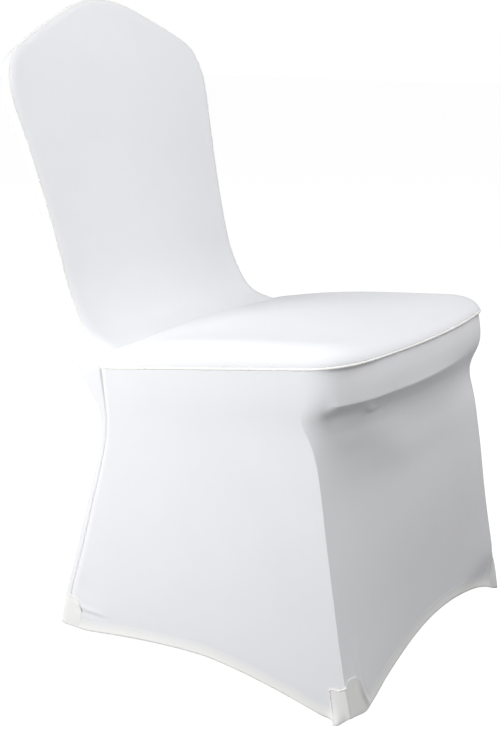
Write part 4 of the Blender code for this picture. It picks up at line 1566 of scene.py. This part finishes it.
@dataclass
class FootPocket:
    """A doubled patch sewn round one corner of the hem, with a strap under the corner.

    The patch lies on the skirt, its lower edge turns under, and the strap runs on below the corner and up
    behind it. A row of front_top, left_front_top or rear_top holds a run from the corner, along the cloth,
    and the patch's height there.
    """

    hand: Hand
    end: End
    front_top: tuple[tuple[float, float], ...] = (
        (-0.0290, 0.0385), (-0.0280, 0.0430), (-0.0250, 0.0455), (-0.0180, 0.0466), (-0.0110, 0.0472),
        (-0.0050, 0.0500), (0.0000, 0.0530), (0.0040, 0.0580), (0.0080, 0.0600), (0.0140, 0.0600),
        (0.0240, 0.0575), (0.0300, 0.0520), (0.0345, 0.0440), (0.0370, 0.0340), (0.0430, 0.0200),
        (0.0505, 0.0125),
    )
    left_front_top: tuple[tuple[float, float], ...] = (
        (-0.0290, 0.0385), (-0.0280, 0.0430), (-0.0250, 0.0455), (-0.0180, 0.0480), (-0.0110, 0.0510),
        (-0.0050, 0.0550), (0.0000, 0.0600), (0.0060, 0.0650), (0.0120, 0.0670), (0.0170, 0.0650),
        (0.0205, 0.0590), (0.0230, 0.0480), (0.0250, 0.0370), (0.0270, 0.0280),
    )
    rear_top: tuple[tuple[float, float], ...] = (
        (-0.0275, 0.0200), (-0.0268, 0.0290), (-0.0250, 0.0360), (-0.0220, 0.0415), (-0.0180, 0.0455),
        (-0.0130, 0.0485), (-0.0070, 0.0505), (0.0000, 0.0515), (0.0340, 0.0480),
    )
    front_stand_off: float = 0.0010
    rear_stand_off: float = 0.0004
    edge_height: float = -0.0001
    edge_reach: float = 0.0090
    thickness: float = 0.0006
    fold_end: float = 0.0015
    sole: float = 0.0012
    hidden_sole: float = 0.0150
    turned_in: float = 0.016
    inner_share: float = 0.16
    behind: float = 0.045
    inwards: tuple[float, float, float] = (0.93, 0.93, 1.0)
    seam_lift: float = 0.0001
    above_core: tuple[float, float, float] = (0.0, 0.0, 0.03)
    columns: int = 44
    patch_rows: int = 26
    sole_rows: int = 12
    strap_rows: int = 10

    @property
    def name(self) -> str:
        """The pocket's name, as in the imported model."""
        return f"foot_pocket_{self.end.value}_{self.hand.name.lower()}"

    def top(self) -> np.ndarray:
        """The patch's upper edge.

        Returns:
            Rows of the run from the corner and the height.
        """
        if self.end is End.REAR:
            return np.array(self.rear_top)
        return np.array(self.front_top if self.hand is Hand.RIGHT else self.left_front_top)

    def outer(self, shape: CoverShape) -> np.ndarray:
        """The patch's rows from its top edge down to the hem, on the skirt's surface.

        Args:
            shape: the cover's shape.

        Returns:
            The points as rows by columns by 3.
        """
        rows, corner = shape.foot_rows(self.hand, self.end)
        edge = self.top()
        wanted = np.linspace(edge[0, 0], edge[-1, 0], self.columns + 1)
        strips = []
        for row in rows:
            along = lengths_along(row)
            along -= along[corner]
            strips.append(np.column_stack([np.interp(wanted, along, part) for part in row.T]))
        grid = np.array(strips)
        found = np.empty((self.patch_rows + 1, self.columns + 1, 3))
        for col in range(self.columns + 1):
            line = grid[::-1, col]
            z = line[:, 2]
            top = np.interp(wanted[col], edge[:, 0], edge[:, 1])
            heights = z[0] + (top - z[0]) * np.linspace(1.0, 0.0, self.patch_rows + 1)
            for part in range(3):
                found[:, col, part] = np.interp(heights, z, line[:, part])
        return found

    def _heights(self, outer: np.ndarray) -> np.ndarray:
        """How far each point of the patch stands off the skirt: less towards its sewn edges.

        Args:
            outer: the patch's points on the skirt's surface.

        Returns:
            One height for each point.
        """
        _, across = sheet_runs(outer)
        to_edge = across[:, -1:] - across
        full = self.front_stand_off
        if self.end is End.REAR:
            to_edge = np.minimum(across, to_edge)
            full = self.rear_stand_off
        return self.edge_height + (full - self.edge_height) * smooth_step(to_edge / self.edge_reach)

    def _raised(self, outer: np.ndarray, lift: float) -> np.ndarray:
        """The patch's points moved off the skirt by their heights.

        Args:
            outer: the patch's points on the skirt's surface.
            lift: a further height for all of them.

        Returns:
            The moved points.
        """
        normal = outward_normals(outer, outer.mean(axis=(0, 1)) * np.array(self.inwards))
        return outer + normal * (self._heights(outer) + lift)[:, :, None]

    def build(self, shape: CoverShape, cloth: bpy.types.Material) -> bpy.types.Object:
        """The whole pocket as one cloth.

        Args:
            shape: the cover's shape.
            cloth: its material.

        Returns:
            The finished piece.
        """
        outside = self._raised(self.outer(shape), 0.0)
        edge = outside[-1]
        towards = np.array([-self.hand.value, 1.0 if self.end is End.FRONT else -1.0, 0.0])
        core = edge.mean(axis=0) + towards * self.turned_in
        rows = [outside]
        hidden = self.hand is Hand.LEFT and self.end is End.FRONT
        sole, power = (self.hidden_sole, 1.0) if hidden else (self.sole, 2.0)
        for share in np.linspace(0.0, 1.0, self.sole_rows)[1:]:
            inner = core + (edge - core) * (1 - share * (1 - self.inner_share))
            inner[:, 2] = edge[:, 2] * (1 - share) ** power + sole * share
            rows.append(inner[None])
        inner = rows[-1][0]
        for rise in np.linspace(0.0, self.behind, self.strap_rows)[1:]:
            rows.append((inner + np.array([0.0, 0.0, rise]))[None])
        points = np.concatenate(rows)
        points[:, :, 2] = np.maximum(points[:, :, 2], self.sole)
        down, _ = sheet_runs(points)
        across = np.tile(lengths_along(points[0]), (len(points), 1))
        distance = np.minimum(down, np.minimum(across, across[:, -1:] - across))
        panel = Panel(self.name + "_cloth", [Grid(points, distance, across)], tuple(core + self.above_core))
        return panel.build(cloth, self.thickness)

    def seam_line(self, shape: CoverShape) -> np.ndarray:
        """The patch's stitched fold: up a front patch's side edge and along its top, or a rear one's top.

        Args:
            shape: the cover's shape.

        Returns:
            The line's points.
        """
        outside = self._raised(self.outer(shape), self.seam_lift)
        if self.end is End.REAR:
            return outside[1, 1:-1]
        edge = self.top()
        corner = int(round(self.columns * (self.fold_end - edge[0, 0]) / (edge[-1, 0] - edge[0, 0])))
        return np.vstack([outside[:0:-1, 1], outside[1, 1:corner]])


@dataclass
class ChairCover:
    """The cover's pieces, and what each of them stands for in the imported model."""

    shape: CoverShape = field(default_factory=CoverShape)
    knit: Knit = field(default_factory=Knit)
    front_patch_knit: Knit = field(default_factory=lambda: Knit(
        name="white_doubled_knit", colour=(0.865, 0.862, 0.852), shade=(0.835, 0.832, 0.822),
        pucker_depth=0.0004,
    ))
    # The rear pockets' copy of the doubled knit is painted lighter than the front pockets' copy: painted
    # light on the lit rear feet
    rear_patch_painted_light_knit: Knit = field(default_factory=lambda: Knit(
        name="white_doubled_rear_knit", colour=(0.925, 0.922, 0.910), shade=(0.895, 0.892, 0.880),
        pucker_depth=0.0004,
    ))
    thread: Thread = field(default_factory=Thread)
    raised_sewing: SeamWork = field(default_factory=SeamWork)
    fine_sewing: SeamWork = field(default_factory=lambda: SeamWork(
        ridge_radius=0.0003, ridge_wave=0.3, spacing=0.0050, stitch_length=0.0030, stitch_radius=0.0004,
        seed=5,
    ))
    hem_sewing: SeamWork = field(default_factory=lambda: SeamWork(
        ridge_radius=0.00006, spacing=0.0036, stitch_length=0.0025, stitch_radius=0.00024, seed=11,
    ))
    pocket_sewing: SeamWork = field(default_factory=lambda: SeamWork(
        ridge_radius=0.0008, ridge_wave=0.8, spacing=0.0047, stitch_length=0.0034, stitch_radius=0.0009,
        seed=3,
    ))

    def dress(self) -> None:
        thread = self.thread.material()
        self._panels(thread)
        self._pockets(thread)

    def _panels(self, thread: bpy.types.Material) -> None:
        """The three large cloths with their seams and hems.

        Args:
            thread: the material of all the sewing.
        """
        cloth = self.knit.material()
        shape = self.shape
        top = self.raised_sewing.sew("seat_and_back_seam", shape.top_seam(), thread)
        legs = [
            self.fine_sewing.sew(f"rear_leg_seam_{hand.name.lower()}", shape.leg_seam(hand), thread)
            for hand in Hand
        ]
        side_hem = self.hem_sewing.sew("skirt_hem_stitches", shape.hem_line(), thread)
        rear_hem = self.hem_sewing.sew("rear_hem_stitches", shape.rear_hem_line(), thread)
        panels = (
            (shape.inside(), "inside_back_and_seat", (0.43, 1.02), 0.38, [top]),
            (shape.outside(), "outside_back", (0.50, 1.00), 0.41, [rear_hem]),
            (shape.around(), "skirt", (1.30, 0.47), 0.53, [*legs, side_hem]),
        )
        for panel, node, flat, area, sewn in panels:
            piece = panel.build(cloth)
            for part in (piece, *sewn):
                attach(part, "root")
            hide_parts(node)
            log.info("%s: %d faces, with %s", piece.name, len(piece.data.polygons), [p.name for p in sewn])

    def _pockets(self, thread: bpy.types.Material) -> None:
        """The four foot pockets with their stitched edges.

        Args:
            thread: the material of all the sewing.
        """
        # The rear pockets get the copy of the doubled knit that is painted lighter
        cloths = {End.FRONT: self.front_patch_knit.material(), End.REAR: self.rear_patch_painted_light_knit.material()}
        for end in End:
            for hand in Hand:
                pocket = FootPocket(hand, end)
                piece = pocket.build(self.shape, cloths[end])
                edge = self.pocket_sewing.sew(pocket.name + "_stitches", pocket.seam_line(self.shape), thread)
                for part in (piece, edge):
                    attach(part, "root")
                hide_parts(pocket.name)
                log.info("%s: %d faces", piece.name, len(piece.data.polygons))


def main() -> None:
    """Builds the cover and the studio, and reports each piece."""
    studio = Studio()
    studio.camera()
    studio.lights()
    studio.floor()
    ChairCover().dress()


if __name__ == "__main__":
    main()
